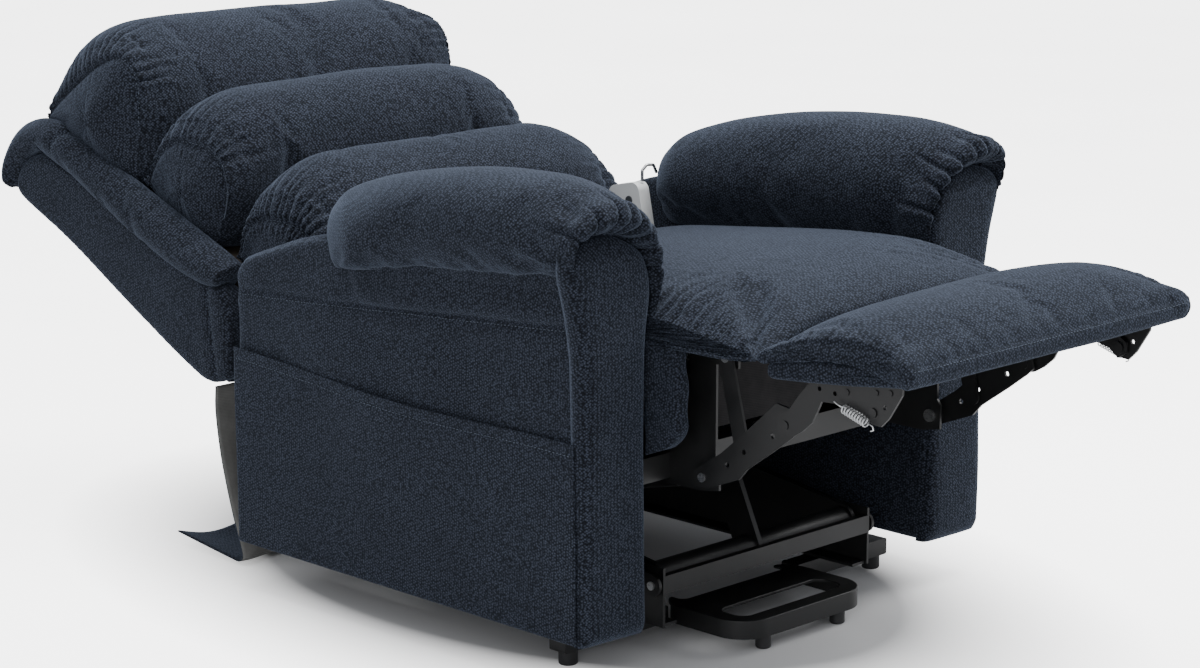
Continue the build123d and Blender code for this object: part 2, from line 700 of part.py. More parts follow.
# ---------------------------------------------------------------- write every sub-part
def write_base():
    for name, side in SIDES:
        write(f"base_rail_{name}", base_rail(side))
    write("base_crossbars", base_front_crossbar(), base_rear_crossbar(), lift_motor_bracket())
    write("base_foot_loop", base_foot_loop())
    write("base_outriggers", *[base_outrigger(side) for _, side in SIDES])
    feet = [glide(side * 76, -15, 42, 10.5) for _, side in SIDES]
    feet += [glide(side * 309, 122, 20) for _, side in SIDES]
    feet += [glide(side * 193, 640, RAIL_BOTTOM) for _, side in SIDES]
    write("base_glides", *feet)
    write("base_pivot_bolts", *base_pivot_bolts())


def write_lift():
    write("lift_arms", *[lift_arm(side) for _, side in SIDES], *chair_pivot_bolts())
    write("lift_torque_tube", lift_torque_tube())
    write("lift_stays", *[lift_stay(side) for _, side in SIDES])


def write_actuator(name, pivot, target):
    write(name, motor_housing(pivot, target), motor_can(pivot, target), actuator_tube(pivot, target, 440))
    write(f"{name}_rod", actuator_rod(pivot, target, 200))


def write_chassis():
    write("chassis_plates", *[chassis_plate(side) for _, side in SIDES])
    write("chassis_front_tube", chassis_front_tube())
    write("chassis_middle_tube", chassis_middle_tube())
    write("chassis_rear_tube", chassis_rear_tube())
    write("chassis_bolts", *chassis_bolts())


def write_seat():
    write("seat_front_rail", box((-215, 215), (-50, -25), (336, 449)))
    write("seat_rails", *[seat_side_rail(side) for _, side in SIDES], seat_rear_rail())
    write("seat_springs", *seat_springs())
    write("seat_cushion", seat_cushion())
    write("seat_corner_flaps", *[corner_flap(side) for _, side in SIDES])


def write_arms():
    write("arm_cover_right", arm_cover(-1, 396))
    write("arm_cover_left", arm_cover(1, ARM_OUTER))
    write("arm_frames", *[arm_frame(side) for _, side in SIDES])
    for name, side in SIDES:
        write(f"arm_front_panel_{name}", arm_front_panel(side))
        write(f"arm_pad_{name}", arm_pad(side))
    write("side_pocket", side_pocket())


def write_back():
    for name, side in SIDES:
        write(f"back_wing_{name}", back_wing(side))
    write("back_rear_panel", back_rear_panel())
    write("back_deck", back_deck())
    write("back_frame", back_frame())
    write("back_top_roll", back_top_roll())
    write("back_brackets", *[back_bracket(side) for _, side in SIDES], back_drive_lever())
    write("lumbar_pillow", lumbar_pillow())
    write("middle_pillow", middle_pillow())
    write("head_pillow", head_pillow())
    write("rear_flap", rear_flap())


def write_footrest():
    write("footrest_board", footrest_board())
    write("footrest_pad", footrest_pad())
    write("footrest_brackets", *[footrest_bracket(side) for _, side in SIDES])
    write("footrest_springs", *[footrest_spring(side) for _, side in SIDES])
    write("footrest_lower_links", *[lower_link(side) for _, side in SIDES], *elbow_bolts())
    write("footrest_upper_links", *[upper_link(side) for _, side in SIDES], *bracket_bolts())
    write("footrest_carrier_links", *[carrier_link(side) for _, side in SIDES])


def write_electrics():
    write("control_box", control_box())
    write("motor_lead", motor_lead())
    write("handset_front", handset_front())
    write("handset_back", handset_back())
    write("handset_board", circuit_board())
    write("handset_hook", handset_hook())
    for name, (y, z) in BUTTONS.items():
        write(f"button_{name}", handset_button(y, z))


write_base()
write_lift()
write_actuator("lift_motor", LIFT_MOTOR_PIVOT, LIFT_LEVER_END)
write_actuator("back_motor", BACK_MOTOR_PIVOT, BACK_LEVER_END)
write_chassis()
write_seat()
write_arms()
write_back()
write_footrest()
write_electrics()
print(len(os.listdir("parts")), "sub-parts")
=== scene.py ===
"""Looks of the lift recliner chair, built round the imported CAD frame. Metres, +Z up, sitter faces -Y."""

import json
import math

import bmesh
import bpy
import numpy as np
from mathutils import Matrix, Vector
from mathutils.bvhtree import BVHTree


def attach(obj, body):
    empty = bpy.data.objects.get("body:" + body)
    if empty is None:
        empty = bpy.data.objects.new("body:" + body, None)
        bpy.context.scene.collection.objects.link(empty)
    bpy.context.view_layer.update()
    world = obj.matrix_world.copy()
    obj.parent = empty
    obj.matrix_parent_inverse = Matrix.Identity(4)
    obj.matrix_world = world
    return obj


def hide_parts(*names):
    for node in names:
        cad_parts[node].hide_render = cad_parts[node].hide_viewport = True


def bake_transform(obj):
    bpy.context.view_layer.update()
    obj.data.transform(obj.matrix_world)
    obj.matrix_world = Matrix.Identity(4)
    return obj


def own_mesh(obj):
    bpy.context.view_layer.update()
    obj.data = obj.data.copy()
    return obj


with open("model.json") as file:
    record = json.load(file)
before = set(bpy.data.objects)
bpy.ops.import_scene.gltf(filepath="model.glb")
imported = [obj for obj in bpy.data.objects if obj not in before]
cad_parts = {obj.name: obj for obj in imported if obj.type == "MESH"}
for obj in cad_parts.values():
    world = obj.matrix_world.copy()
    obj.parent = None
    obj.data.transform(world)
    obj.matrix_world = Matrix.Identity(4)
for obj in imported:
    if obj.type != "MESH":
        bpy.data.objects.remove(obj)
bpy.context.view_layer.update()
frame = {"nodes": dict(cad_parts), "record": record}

# Shapes below are written in chair coordinates: z = 0 on the floor, y = 0 on the arms' front face.
SETBACK = 0.432          # chair y minus row y
WING_SLOPE = 0.3767      # rise of the wings' front edge
DECK_DROP = 0.027        # deck surface below the wings' front edge
SIDES = (("right", -1), ("left", 1))
SIM_FRAMES = 20


def wing_line(y):
    return 0.456 + WING_SLOPE * (y - 0.780)


def on_deck(y, h):
    """Height above the deck's line -> z."""
    return wing_line(y) - DECK_DROP + h


# ---------------------------------------------------------------- curves
def run_along(line):
    """Arc length at each point of a line."""
    return np.concatenate([[0], np.cumsum(np.linalg.norm(np.diff(line, axis=0), axis=1))])


def resample(fine, count, closed):
    """Count points at even spacing along a dense line. A closed one ends on its first point, left out here."""
    run = run_along(fine)
    at = np.linspace(0, run[-1], count + 1)[:-1] if closed else np.linspace(0, run[-1], count)
    return np.stack([np.interp(at, run, fine[:, k]) for k in range(fine.shape[1])], axis=1)


def smooth_line(points, count, closed=False):
    """Catmull-Rom line through the points, as count points at even spacing."""
    p = np.array(points, float)
    n = len(p)
    if closed:
        p = np.vstack([p[-1], p, p[0], p[1]])
        spans = n
    else:
        p = np.vstack([2 * p[0] - p[1], p, 2 * p[-1] - p[-2]])
        spans = n - 1
    fine = []
    for i in range(spans):
        a, b, c, d = p[i:i + 4]
        for t in np.linspace(0, 1, 24, endpoint=False):
            fine.append(0.5 * (2 * b + (c - a) * t + (2 * a - 5 * b + 4 * c - d) * t ** 2
                               + (3 * b - a - 3 * c + d) * t ** 3))
    fine.append(fine[0] if closed else p[-2])
    return resample(np.array(fine), count, closed)


def smooth_polygon(points, radii, count):
    """Closed outline with rounded corners, as count points at even spacing."""
    out = []
    n = len(points)
    for i, (p, r) in enumerate(zip(points, radii)):
        p = np.array(p, float)
        a = np.array(points[i - 1], float) - p
        b = np.array(points[(i + 1) % n], float) - p
        before, after = np.linalg.norm(a), np.linalg.norm(b)
        reach = min(r, before * 0.45, after * 0.45)
        start, end = p + a / before * reach, p + b / after * reach
        for t in np.linspace(0, 1, 8):
            out.append((1 - t) ** 2 * start + 2 * t * (1 - t) * p + t ** 2 * end)
    return resample(np.array(out + [out[0]]), count, closed=True)


def curve_value(points, at):
    """Smooth height of a line of (s, value) points at the positions asked for."""
    fine = smooth_line(points, 400)
    order = np.argsort(fine[:, 0])
    return np.interp(at, fine[order, 0], fine[order, 1])


def smoothstep(t):
    t = np.clip(t, 0, 1)
    return t * t * (3 - 2 * t)


def wobble(x, seed, octaves=3):
    """Smooth one-dimensional noise, about -1 to 1."""
    x = np.asarray(x, float)
    r = np.random.default_rng(seed)
    total = np.zeros_like(x)
    for k in range(octaves):
        a, b, c = r.uniform(0.7, 1.3), r.uniform(0, 6.28), r.uniform(0.7, 1.3)
        total += np.sin(x * a * 1.9 ** k + b) * np.cos(x * c * 0.7 * 1.9 ** k + 2 * b) / 1.5 ** k
    return total / 1.6


def field(co, scale, seed):
    """Smooth noise over space, about -1 to 1."""
    r = np.random.default_rng(seed)
    total = np.zeros(len(co))
    for _ in range(7):
        v = r.normal(size=3)
        v *= r.uniform(0.6, 1.6) * scale / np.linalg.norm(v)
        total += np.sin(co @ v + r.uniform(0, 6.28))
    return total / 3.2


# ---------------------------------------------------------------- meshes
def to_mesh(name, verts, faces):
    verts = np.array(verts, float).reshape(-1, 3)
    verts[:, 1] -= SETBACK
    mesh = bpy.data.meshes.new(name)
    mesh.from_pydata([tuple(v) for v in verts], [], [tuple(f) for f in faces])
    mesh.validate()
    obj = bpy.data.objects.new(name, mesh)
    bpy.context.scene.collection.objects.link(obj)
    return obj


def fix_normals(obj):
    bm = bmesh.new()
    bm.from_mesh(obj.data)
    bmesh.ops.remove_doubles(bm, verts=bm.verts, dist=1e-5)
    bmesh.ops.recalc_face_normals(bm, faces=bm.faces)
    bm.to_mesh(obj.data)
    bm.free()
    smooth_shade(obj.data)
    obj.data.update()
    return obj


def loft(name, rings):
    """Closed skin through rings of equal length; each end closes with a fan."""
    rings = [np.array(r, float) for r in rings]
    m = len(rings[0])
    verts = list(np.vstack(rings))
    faces = []
    for j in range(len(rings) - 1):
        for i in range(m):
            k = (i + 1) % m
            faces.append((j * m + i, j * m + k, (j + 1) * m + k, (j + 1) * m + i))
    for j in (0, len(rings) - 1):
        centre = len(verts)
        verts.append(rings[j].mean(axis=0))
        for i in range(m):
            faces.append((j * m + i, j * m + (i + 1) % m, centre))
    return fix_normals(to_mesh(name, verts, faces))


def grid_faces(rows, columns):
    """Quads between neighbouring rows of points."""
    return [(j * columns + i, j * columns + i + 1, (j + 1) * columns + i + 1, (j + 1) * columns + i)
            for j in range(rows - 1) for i in range(columns - 1)]


def patch(name, rows):
    """Open sheet from rows of points."""
    rows = [np.array(r, float) for r in rows]
    return fix_normals(to_mesh(name, np.vstack(rows), grid_faces(len(rows), len(rows[0]))))


def coords(obj):
    co = np.zeros(len(obj.data.vertices) * 3)
    obj.data.vertices.foreach_get("co", co)
    co = co.reshape(-1, 3)
    co[:, 1] += SETBACK
    return co


def normals(obj):
    no = np.zeros(len(obj.data.vertices) * 3)
    obj.data.vertex_normals.foreach_get("vector", no)
    return no.reshape(-1, 3)


def put_coords(obj, co):
    co = co.copy()
    co[:, 1] -= SETBACK
    obj.data.vertices.foreach_set("co", co.ravel())
    obj.data.update()


def evaluated_mesh(obj):
    """The object's mesh as its modifiers or its bevel leave it."""
    deps = bpy.context.evaluated_depsgraph_get()
    return bpy.data.meshes.new_from_object(obj.evaluated_get(deps))


def smooth_shade(mesh):
    mesh.polygons.foreach_set("use_smooth", [True] * len(mesh.polygons))


def apply_modifier(obj, kind, **values):
    modifier = obj.modifiers.new(kind.lower(), kind)
    for key, value in values.items():
        setattr(modifier, key, value)
    bpy.context.view_layer.update()
    mesh = evaluated_mesh(obj)
    obj.modifiers.clear()
    old = obj.data
    obj.data = mesh
    bpy.data.meshes.remove(old)
    smooth_shade(mesh)


def subdivide(obj, levels=1):
    apply_modifier(obj, "SUBSURF", levels=levels, render_levels=levels)


def remesh(obj, voxel):
    apply_modifier(obj, "REMESH", mode="VOXEL", voxel_size=voxel, use_smooth_shade=True)


def soften(obj, times):
    apply_modifier(obj, "SMOOTH", iterations=times, factor=0.5)


def thicken(obj, thickness, offset=-1):
    """Sheet -> closed cloth of that thickness; offset says to which side of the sheet it grows."""
    apply_modifier(obj, "SOLIDIFY", thickness=thickness, offset=offset)
    fix_normals(obj)


def inflate(obj, pins, cap, slack):
    """Blow the skin up as cloth, let no point move further than cap, and keep the pinned points still.

    Pins is a share from 0, free, to 1, still, for each point."""
    before = coords(obj)
    group = obj.vertex_groups.new(name="pin")
    pins = np.round(pins, 1)
    for level in np.unique(pins[pins > 0]):
        group.add([int(i) for i in np.where(pins == level)[0]], float(level), "REPLACE")
    mod = obj.modifiers.new("cloth", "CLOTH")
    s = mod.settings
    s.quality = 5
    s.mass = 0.3
    s.tension_stiffness = s.compression_stiffness = 18
    s.shear_stiffness = 8
    s.bending_stiffness = 0.6
    s.use_pressure = True
    s.uniform_pressure_force = 4.0
    s.shrink_min = -slack
    s.effector_weights.gravity = 0
    s.vertex_group_mass = group.name
    s.pin_stiffness = 4
    mod.collision_settings.use_collision = False
    mod.point_cache.frame_start = 1
    mod.point_cache.frame_end = SIM_FRAMES
    scene = bpy.context.scene
    for f in range(1, SIM_FRAMES + 1):
        scene.frame_set(f)
    mesh = evaluated_mesh(obj)
    obj.modifiers.clear()
    obj.data = mesh
    scene.frame_set(1)
    move = coords(obj) - before
    far = np.linalg.norm(move, axis=1)
    keep = np.minimum(1, cap / np.maximum(far, 1e-9))
    put_coords(obj, before + move * keep[:, None])
    obj.vertex_groups.clear()
    smooth_shade(obj.data)


# ---------------------------------------------------------------- sewing
FAR_OFF = 9.0


def nearest(co, line, margin=0.25):
    """For each point: its distance to a dense line, and arc length there. Points past the margin are far off."""
    run = run_along(line)
    inside = np.all((co > line.min(0) - margin) & (co < line.max(0) + margin), axis=1)
    near = co[inside]
    best = np.full(len(near), 1e9)
    where = np.zeros(len(near), int)
    for i, p in enumerate(line):
        d = ((near - p) ** 2).sum(axis=1)
        hit = d < best
        best[hit] = d[hit]
        where[hit] = i
    distance = np.full(len(co), FAR_OFF)
    along = np.zeros(len(co))
    distance[inside] = np.sqrt(best)
    along[inside] = run[where]
    return distance, along


def shift(obj, amount):
    put_coords(obj, coords(obj) + normals(obj) * np.asarray(amount)[:, None])


def rumple(obj, *waves, where=1.0):
    """Soft unevenness. Each wave is its height, its scale and its seed."""
    co = coords(obj)
    shift(obj, where * sum(height * field(co, scale, seed) for height, scale, seed in waves))


def groove(obj, line, depth=0.003, width=0.004, puff=0.0):
    """Sewn seam: a narrow valley, with the cloth swelling a little on either side."""
    line = smooth_line(line, max(8, int(len_of(line) / 0.003)))
    d, _ = nearest(coords(obj), line, 0.05)
    puff_at = 0.018
    shift(obj, -depth * np.exp(-(d / width) ** 2) + puff * np.exp(-((d - puff_at) / (puff_at * 0.6)) ** 2))


def len_of(line):
    return float(np.linalg.norm(np.diff(np.array(line, float), axis=0), axis=1).sum())


def gather(obj, line, spacing, depth, reach, seed, mask=None, wander=0.8):
    """Pleats that leave a sewn line at right angles and die out over reach metres."""
    line = smooth_line(line, max(12, int(len_of(line) / 0.002)))
    co = coords(obj)
    d, s = nearest(co, line, reach * 2.6)
    drift = wobble(s / spacing * 0.8, seed) + 0.35 * wobble(d * 45 + s * 30, seed + 1)
    phase = s / spacing + wander * drift
    ridge = np.abs(np.sin(np.pi * phase)) ** 0.8 - 0.62
    length = reach * (1 + 0.5 * wobble(s / spacing * 0.9, seed + 2))
    fade = np.exp(-(d / np.maximum(length, 0.01)) ** 2) * (1 - 0.75 * np.exp(-(d / 0.005) ** 2))
    strength = 0.75 + 0.45 * wobble(s / spacing * 0.6, seed + 3)
    amount = depth * strength * ridge * fade
    if mask is not None:
        amount = amount * mask(co)
    shift(obj, amount)


def tucks(obj, line, places, depth, reach, seed):
    """Single sharp folds laid back from a sewn line, at the given shares of its length."""
    length = len_of(line)
    line = smooth_line(line, max(12, int(length / 0.0015)))
    d, run = nearest(coords(obj), line, reach * 2.5)
    amount = np.zeros(len(d))
    for i, share in enumerate(places):
        slant = 0.25 * wobble(np.array([share * 9.0]), seed)[0]
        long = reach * (0.8 + 0.25 * math.sin(seed + 2.3 * i))
        off = run - share * length - slant * d
        fade = np.exp(-(d / long) ** 3)
        roll = 0.35 * np.exp(-((off - 0.0080) / 0.0060) ** 2)
        crease = np.exp(-(off / 0.0028) ** 2)
        amount += fade * depth * (roll - crease)
    shift(obj, amount)


def fan(obj, centre, count, depth, reach, seed):
    """Pleats that spread upwards from one tied point on a side face."""
    co = coords(obj)
    dy, dz = co[:, 1] - centre[1], co[:, 2] - centre[2]
    d = np.sqrt(((co - np.array(centre)) ** 2).sum(axis=1))
    angle = np.arctan2(dz, dy)
    phase = angle / math.pi * count + 0.5 * wobble(angle * 3, seed)
    ridge = np.abs(np.sin(np.pi * phase)) - 0.6
    fade = np.exp(-(d / reach) ** 2) * np.clip(d / 0.006, 0, 1) * np.clip((dz + 0.012) / 0.012, 0, 1)
    shift(obj, depth * ridge * fade - 0.006 * np.exp(-(d / 0.009) ** 2))


def stitches(name, obj, lines, step):
    """Rows of thread stitches lying on a finished piece, one stitch every step metres along each line."""
    length, radius, lift = 0.0036, 0.00042, 0.0003
    profile = ((-1.0, 0.25), (-0.55, 1.0), (0.55, 1.0), (1.0, 0.25))    # place along it, thickness there
    co = coords(obj)
    tree = BVHTree.FromPolygons([tuple(v) for v in co], [tuple(p.vertices) for p in obj.data.polygons])
    verts, faces = [], []
    for line in lines:
        pts = smooth_line(line, max(3, int(len_of(line) / step)))
        for i in range(len(pts) - 1):
            a, b = Vector(pts[i]), Vector(pts[i + 1])
            hit = tree.find_nearest((a + b) / 2)
            if hit[0] is None or hit[3] > 0.03:
                continue
            place, normal = hit[0], hit[1]
            way = b - a
            way = (way - normal * way.dot(normal)).normalized()
            side = normal.cross(way)
            base = len(verts)
            for t, w in profile:
                for u, v in ((1, 0), (0, 1), (-1, 0), (0, -1)):
                    q = place + normal * lift + way * (t * length / 2) + (side * u + normal * v) * radius * w
                    verts.append(tuple(q))
            for first in (base, base + 4, base + 8):
                for k in range(4):
                    n = (k + 1) % 4
                    faces.append((first + k, first + n, first + 4 + n, first + 4 + k))
            faces.append((base, base + 1, base + 2, base + 3))
            faces.append((base + 12, base + 13, base + 14, base + 15))
    thread = fix_normals(to_mesh(name, verts, faces))
    paint(thread, "thread")
    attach(thread, obj["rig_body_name"])
    return thread


# ---------------------------------------------------------------- materials
def new_material(name):
    """A material, its node tree, its shader and the place on the object in metres."""
    mat = bpy.data.materials.new(name)
    mat.use_nodes = True
    tree = mat.node_tree
    place = tree.nodes.new("ShaderNodeTexCoord").outputs["Object"]
    return mat, tree, tree.nodes["Principled BSDF"], place


def feed(tree, shader, values):
    """Give each named input of a node its value, or the socket that drives it."""
    for name, value in values.items():
        if isinstance(value, bpy.types.NodeSocket):
            tree.links.new(value, shader.inputs[name])
        else:
            shader.inputs[name].default_value = value


def mapped(tree, vector, scale, rotation=(0, 0, 0)):
    n = tree.nodes.new("ShaderNodeMapping")
    feed(tree, n, {"Vector": vector, "Rotation": rotation, "Scale": scale})
    return n.outputs[0]


def math_node(tree, op, *values):
    n = tree.nodes.new("ShaderNodeMath")
    n.operation = op
    feed(tree, n, dict(enumerate(values)))
    return n.outputs[0]


def weighted(tree, *parts):
    """Sum of sockets, each times its weight."""
    total, *others = [math_node(tree, "MULTIPLY", socket, weight) for socket, weight in parts]
    for other in others:
        total = math_node(tree, "ADD", total, other)
    return total


def wave(tree, vector, direction, period):
    """0..1 sine ribs running across a direction."""
    dot = tree.nodes.new("ShaderNodeVectorMath")
    dot.operation = "DOT_PRODUCT"
    d = np.array(direction, float)
    d = d / np.linalg.norm(d) * 2 * math.pi / period
    feed(tree, dot, {0: vector, 1: tuple(d)})
    s = math_node(tree, "SINE", dot.outputs["Value"])
    return math_node(tree, "ADD", math_node(tree, "MULTIPLY", s, 0.5), 0.5)


def ramp(tree, value, *stops):
    """Colour ramp. A stop is its position and its colour, or one grey level."""
    n = tree.nodes.new("ShaderNodeValToRGB")
    tree.links.new(value, n.inputs["Fac"])
    marks = n.color_ramp.elements
    marks[0].position, marks[1].position = stops[0][0], stops[-1][0]
    for position, _ in stops[1:-1]:
        marks.new(position)
    for mark, (_, colour) in zip(marks, stops):
        mark.color = (*colour, 1) if isinstance(colour, tuple) else (colour, colour, colour, 1)
    return n.outputs["Color"]


def mix(tree, fac, a, b, blend="MIX"):
    n = tree.nodes.new("ShaderNodeMix")
    n.data_type = "RGBA"
    n.blend_type = blend
    for socket, v in ((n.inputs[0], fac), (n.inputs[6], a), (n.inputs[7], b)):
        if isinstance(v, (int, float)):
            socket.default_value = v
        elif isinstance(v, tuple):
            socket.default_value = (*v, 1)
        else:
            tree.links.new(v, socket)
    return n.outputs[2]


def noise(tree, vector, scale, detail=4.0, rough=0.5):
    n = tree.nodes.new("ShaderNodeTexNoise")
    feed(tree, n, {"Vector": vector, "Scale": scale, "Detail": detail, "Roughness": rough})
    return n.outputs["Fac"]


def bump(tree, bsdf, height, distance, strength):
    n = tree.nodes.new("ShaderNodeBump")
    feed(tree, n, {"Strength": strength, "Distance": distance, "Height": height})
    tree.links.new(n.outputs["Normal"], bsdf.inputs["Normal"])


def cells_of(tree, vector, scale, looseness):
    """0..1 woven cells: 1 in the middle of each thread crossing, 0 between them."""
    n = tree.nodes.new("ShaderNodeTexVoronoi")
    feed(tree, n, {"Vector": vector, "Scale": scale, "Randomness": looseness})
    return math_node(tree, "SUBTRACT", 1.0, math_node(tree, "MULTIPLY", n.outputs["Distance"], 1.25))


def fabric(name, dark, light):
    """Woven pile: small raised cells, heathered yarn between them, brushed patches."""
    mat, t, bsdf, place = new_material(name)
    cells = cells_of(t, mapped(t, place, (1.0, 1.0, 1.15), (0.5, 0.62, 0.78)), 285, 0.56)
    yarn = noise(t, place, 700, 2, 0.7)
    pile = noise(t, place, 8, 4, 0.6)
    flock = noise(t, place, 85, 3, 0.65)
    level = weighted(t, (cells, 0.60), (yarn, 0.33), (flock, 0.07))
    middle = tuple(0.60 * np.array(dark) + 0.40 * np.array(light))
    base = ramp(t, level, (0.33, dark), (0.52, middle), (0.72, light))
    worn = ramp(t, pile, (0.32, (0.90, 0.90, 0.91)), (0.68, (1.10, 1.10, 1.09)))
    feed(t, bsdf, {"Base Color": mix(t, 1.0, base, worn, "MULTIPLY"),
                   "Roughness": math_node(t, "ADD", math_node(t, "MULTIPLY", flock, 0.12), 0.86),
                   "Specular IOR Level": 0.15, "Sheen Weight": 0.20, "Sheen Roughness": 0.45,
                   "Sheen Tint": (0.57, 0.71, 0.97, 1)})
    bump(t, bsdf, weighted(t, (cells, 0.8), (yarn, 0.6), (flock, 0.25)), 0.00065, 0.9)
    return mat


def cloth_plain(name, dark, light, period=0.0016):
    """Thin plain-weave lining."""
    mat, t, bsdf, place = new_material(name)
    warp = wave(t, place, (1, 0.02, 0.3), period)
    weft = wave(t, place, (0.1, 1, 1), period)
    weave = math_node(t, "MULTIPLY", math_node(t, "ADD", warp, weft), 0.5)
    level = weighted(t, (weave, 0.35), (noise(t, place, 30, 5, 0.65), 0.65))
    feed(t, bsdf, {"Base Color": ramp(t, level, (0.25, dark), (0.75, light)), "Roughness": 0.9,
                   "Specular IOR Level": 0.2})
    bump(t, bsdf, level, 0.0003, 0.6)
    return mat


def painted_steel(name, colour, worn):
    """Satin paint with orange peel, dust and a little wear."""
    mat, t, bsdf, place = new_material(name)
    dust = noise(t, place, 14, 6, 0.65)
    specks = noise(t, place, 260, 3, 0.6)
    peel = noise(t, place, 480, 2, 0.5)
    base = ramp(t, dust, (0.35, colour), (0.78, worn))
    spots = ramp(t, specks, (0.66, 1.0), (0.74, 2.2))
    feed(t, bsdf, {"Base Color": mix(t, 1.0, base, spots, "MULTIPLY"), "Metallic": 0.0,
                   "Roughness": ramp(t, dust, (0.3, 0.32), (0.75, 0.5)), "Specular IOR Level": 0.5})
    bump(t, bsdf, peel, 0.00012, 0.35)
    return mat


def bare_metal(name, colour, smooth=0.2, dull=0.42):
    """Zinc or chrome: brushed streaks and dull patches."""
    mat, t, bsdf, place = new_material(name)
    streak = noise(t, mapped(t, place, (1, 1, 18)), 120, 4, 0.7)
    patchy = noise(t, place, 35, 4, 0.6)
    dim = tuple(0.72 * c for c in colour)
    feed(t, bsdf, {"Base Color": ramp(t, patchy, (0.3, dim), (0.7, colour)), "Metallic": 1.0,
                   "Roughness": ramp(t, streak, (0.25, smooth), (0.75, dull))})
    bump(t, bsdf, streak, 0.00006, 0.4)
    return mat


def plastic(name, dark, light, rough, grain=900.0):
    """Moulded plastic with a fine spark-eroded grain and faint scuffs."""
    mat, t, bsdf, place = new_material(name)
    fine = noise(t, place, grain, 2, 0.5)
    broad = noise(t, place, 22, 5, 0.6)
    feed(t, bsdf, {"Base Color": ramp(t, broad, (0.3, dark), (0.7, light)),
                   "Roughness": ramp(t, broad, (0.3, rough - 0.06), (0.7, rough + 0.08))})
    bump(t, bsdf, fine, 0.00008, 0.5)
    return mat


def timber(name):
    """Sawn softwood gone dark, with its grain along the chair."""
    mat, t, bsdf, place = new_material(name)
    stretched = mapped(t, place, (14, 1.2, 14))
    grain = noise(t, stretched, 6, 6, 0.65)
    pores = noise(t, stretched, 60, 2, 0.6)
    base = ramp(t, grain, (0.3, (0.018, 0.013, 0.009)), (0.55, (0.034, 0.026, 0.019)),
                (0.75, (0.050, 0.040, 0.029)))
    feed(t, bsdf, {"Base Color": base, "Roughness": 0.72})
    bump(t, bsdf, math_node(t, "ADD", grain, pores), 0.0003, 0.6)
    return mat


FLOOR_GLOW = 5.0         # keeps the pale backdrop pale where the lights fall off


def floor_material():
    """Plain white paper backdrop. It glows for the camera only, and not under the chair."""
    mat, t, bsdf, place = new_material("studio_floor")
    base = ramp(t, noise(t, place, 1.5, 3), (0.3, 0.80), (0.7, 0.83))
    seen = t.nodes.new("ShaderNodeLightPath").outputs["Is Camera Ray"]
    away = t.nodes.new("ShaderNodeVectorMath")
    away.operation = "LENGTH"
    t.links.new(mapped(t, place, (1.55, 1.0, 0.0)), away.inputs[0])
    clear = ramp(t, away.outputs["Value"], (0.55, 0.0), (0.95, 1.0))
    glow = math_node(t, "MULTIPLY", math_node(t, "MULTIPLY", seen, clear), FLOOR_GLOW)
    feed(t, bsdf, {"Base Color": base, "Roughness": 0.9, "Specular IOR Level": 0.1,
                   "Emission Color": base, "Emission Strength": glow})
    return mat


MATERIALS = {
    "fabric": fabric("navy_ribbed_pile", (0.0034, 0.0044, 0.0068), (0.048, 0.058, 0.084)),
    "thread": cloth_plain("sewing_thread", (0.05, 0.065, 0.09), (0.16, 0.19, 0.24), 0.0008),
    "dark_cloth": cloth_plain("dark_dust_cover", (0.010, 0.010, 0.011), (0.035, 0.033, 0.034)),
    "lining": cloth_plain("grey_flap_lining", (0.13, 0.13, 0.125), (0.25, 0.25, 0.24)),
    "black_steel": painted_steel("satin_black_paint", (0.0050, 0.0052, 0.0054), (0.013, 0.013, 0.0135)),
    "zinc": bare_metal("bright_zinc", (0.78, 0.79, 0.80)),
    "rod": bare_metal("polished_rod", (0.72, 0.72, 0.74), 0.08, 0.2),
    "black_plastic": plastic("black_moulded_plastic", (0.011, 0.011, 0.012), (0.024, 0.024, 0.026), 0.5),
    "rubber": plastic("cable_jacket", (0.010, 0.010, 0.010), (0.022, 0.022, 0.022), 0.55, 500.0),
    "white_plastic": plastic("white_handset_shell", (0.74, 0.76, 0.76), (0.84, 0.85, 0.85), 0.36),
    "circuit": plastic("circuit_board", (0.02, 0.12, 0.05), (0.03, 0.2, 0.08), 0.4),
    "button": plastic("dark_soft_button", (0.03, 0.035, 0.04), (0.07, 0.075, 0.085), 0.5),
    "timber": timber("sawn_timber"),
    "floor": floor_material(),
}
SLOT_LOOKS = {"navy_fabric": "fabric", "timber": "timber", "lining": "dark_cloth",
              "black_steel": "black_steel", "zinc_steel": "zinc", "bright_rod": "rod",
              "black_plastic": "black_plastic", "white_plastic": "white_plastic", "cable_rubber": "rubber",
              "circuit_green": "circuit", "dark_button": "button"}


def paint(obj, *looks):
    obj.data.materials.clear()
    for look in looks:
        obj.data.materials.append(MATERIALS[look])


def piece(obj, body, look, nodes=()):
    """Finished piece: material, body, and the CAD nodes it stands for, which are hidden."""
    paint(obj, look)
    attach(obj, body)
    obj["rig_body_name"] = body
    if nodes:
        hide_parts(*nodes)


def upholstery(obj, body, nodes=()):
    piece(obj, body, "fabric", nodes)


# ---------------------------------------------------------------- pillows
def winding(outline):
    """Above 0 one way round, below 0 the other."""
    return np.sum(np.cross(outline, np.roll(outline, -1, 0)))


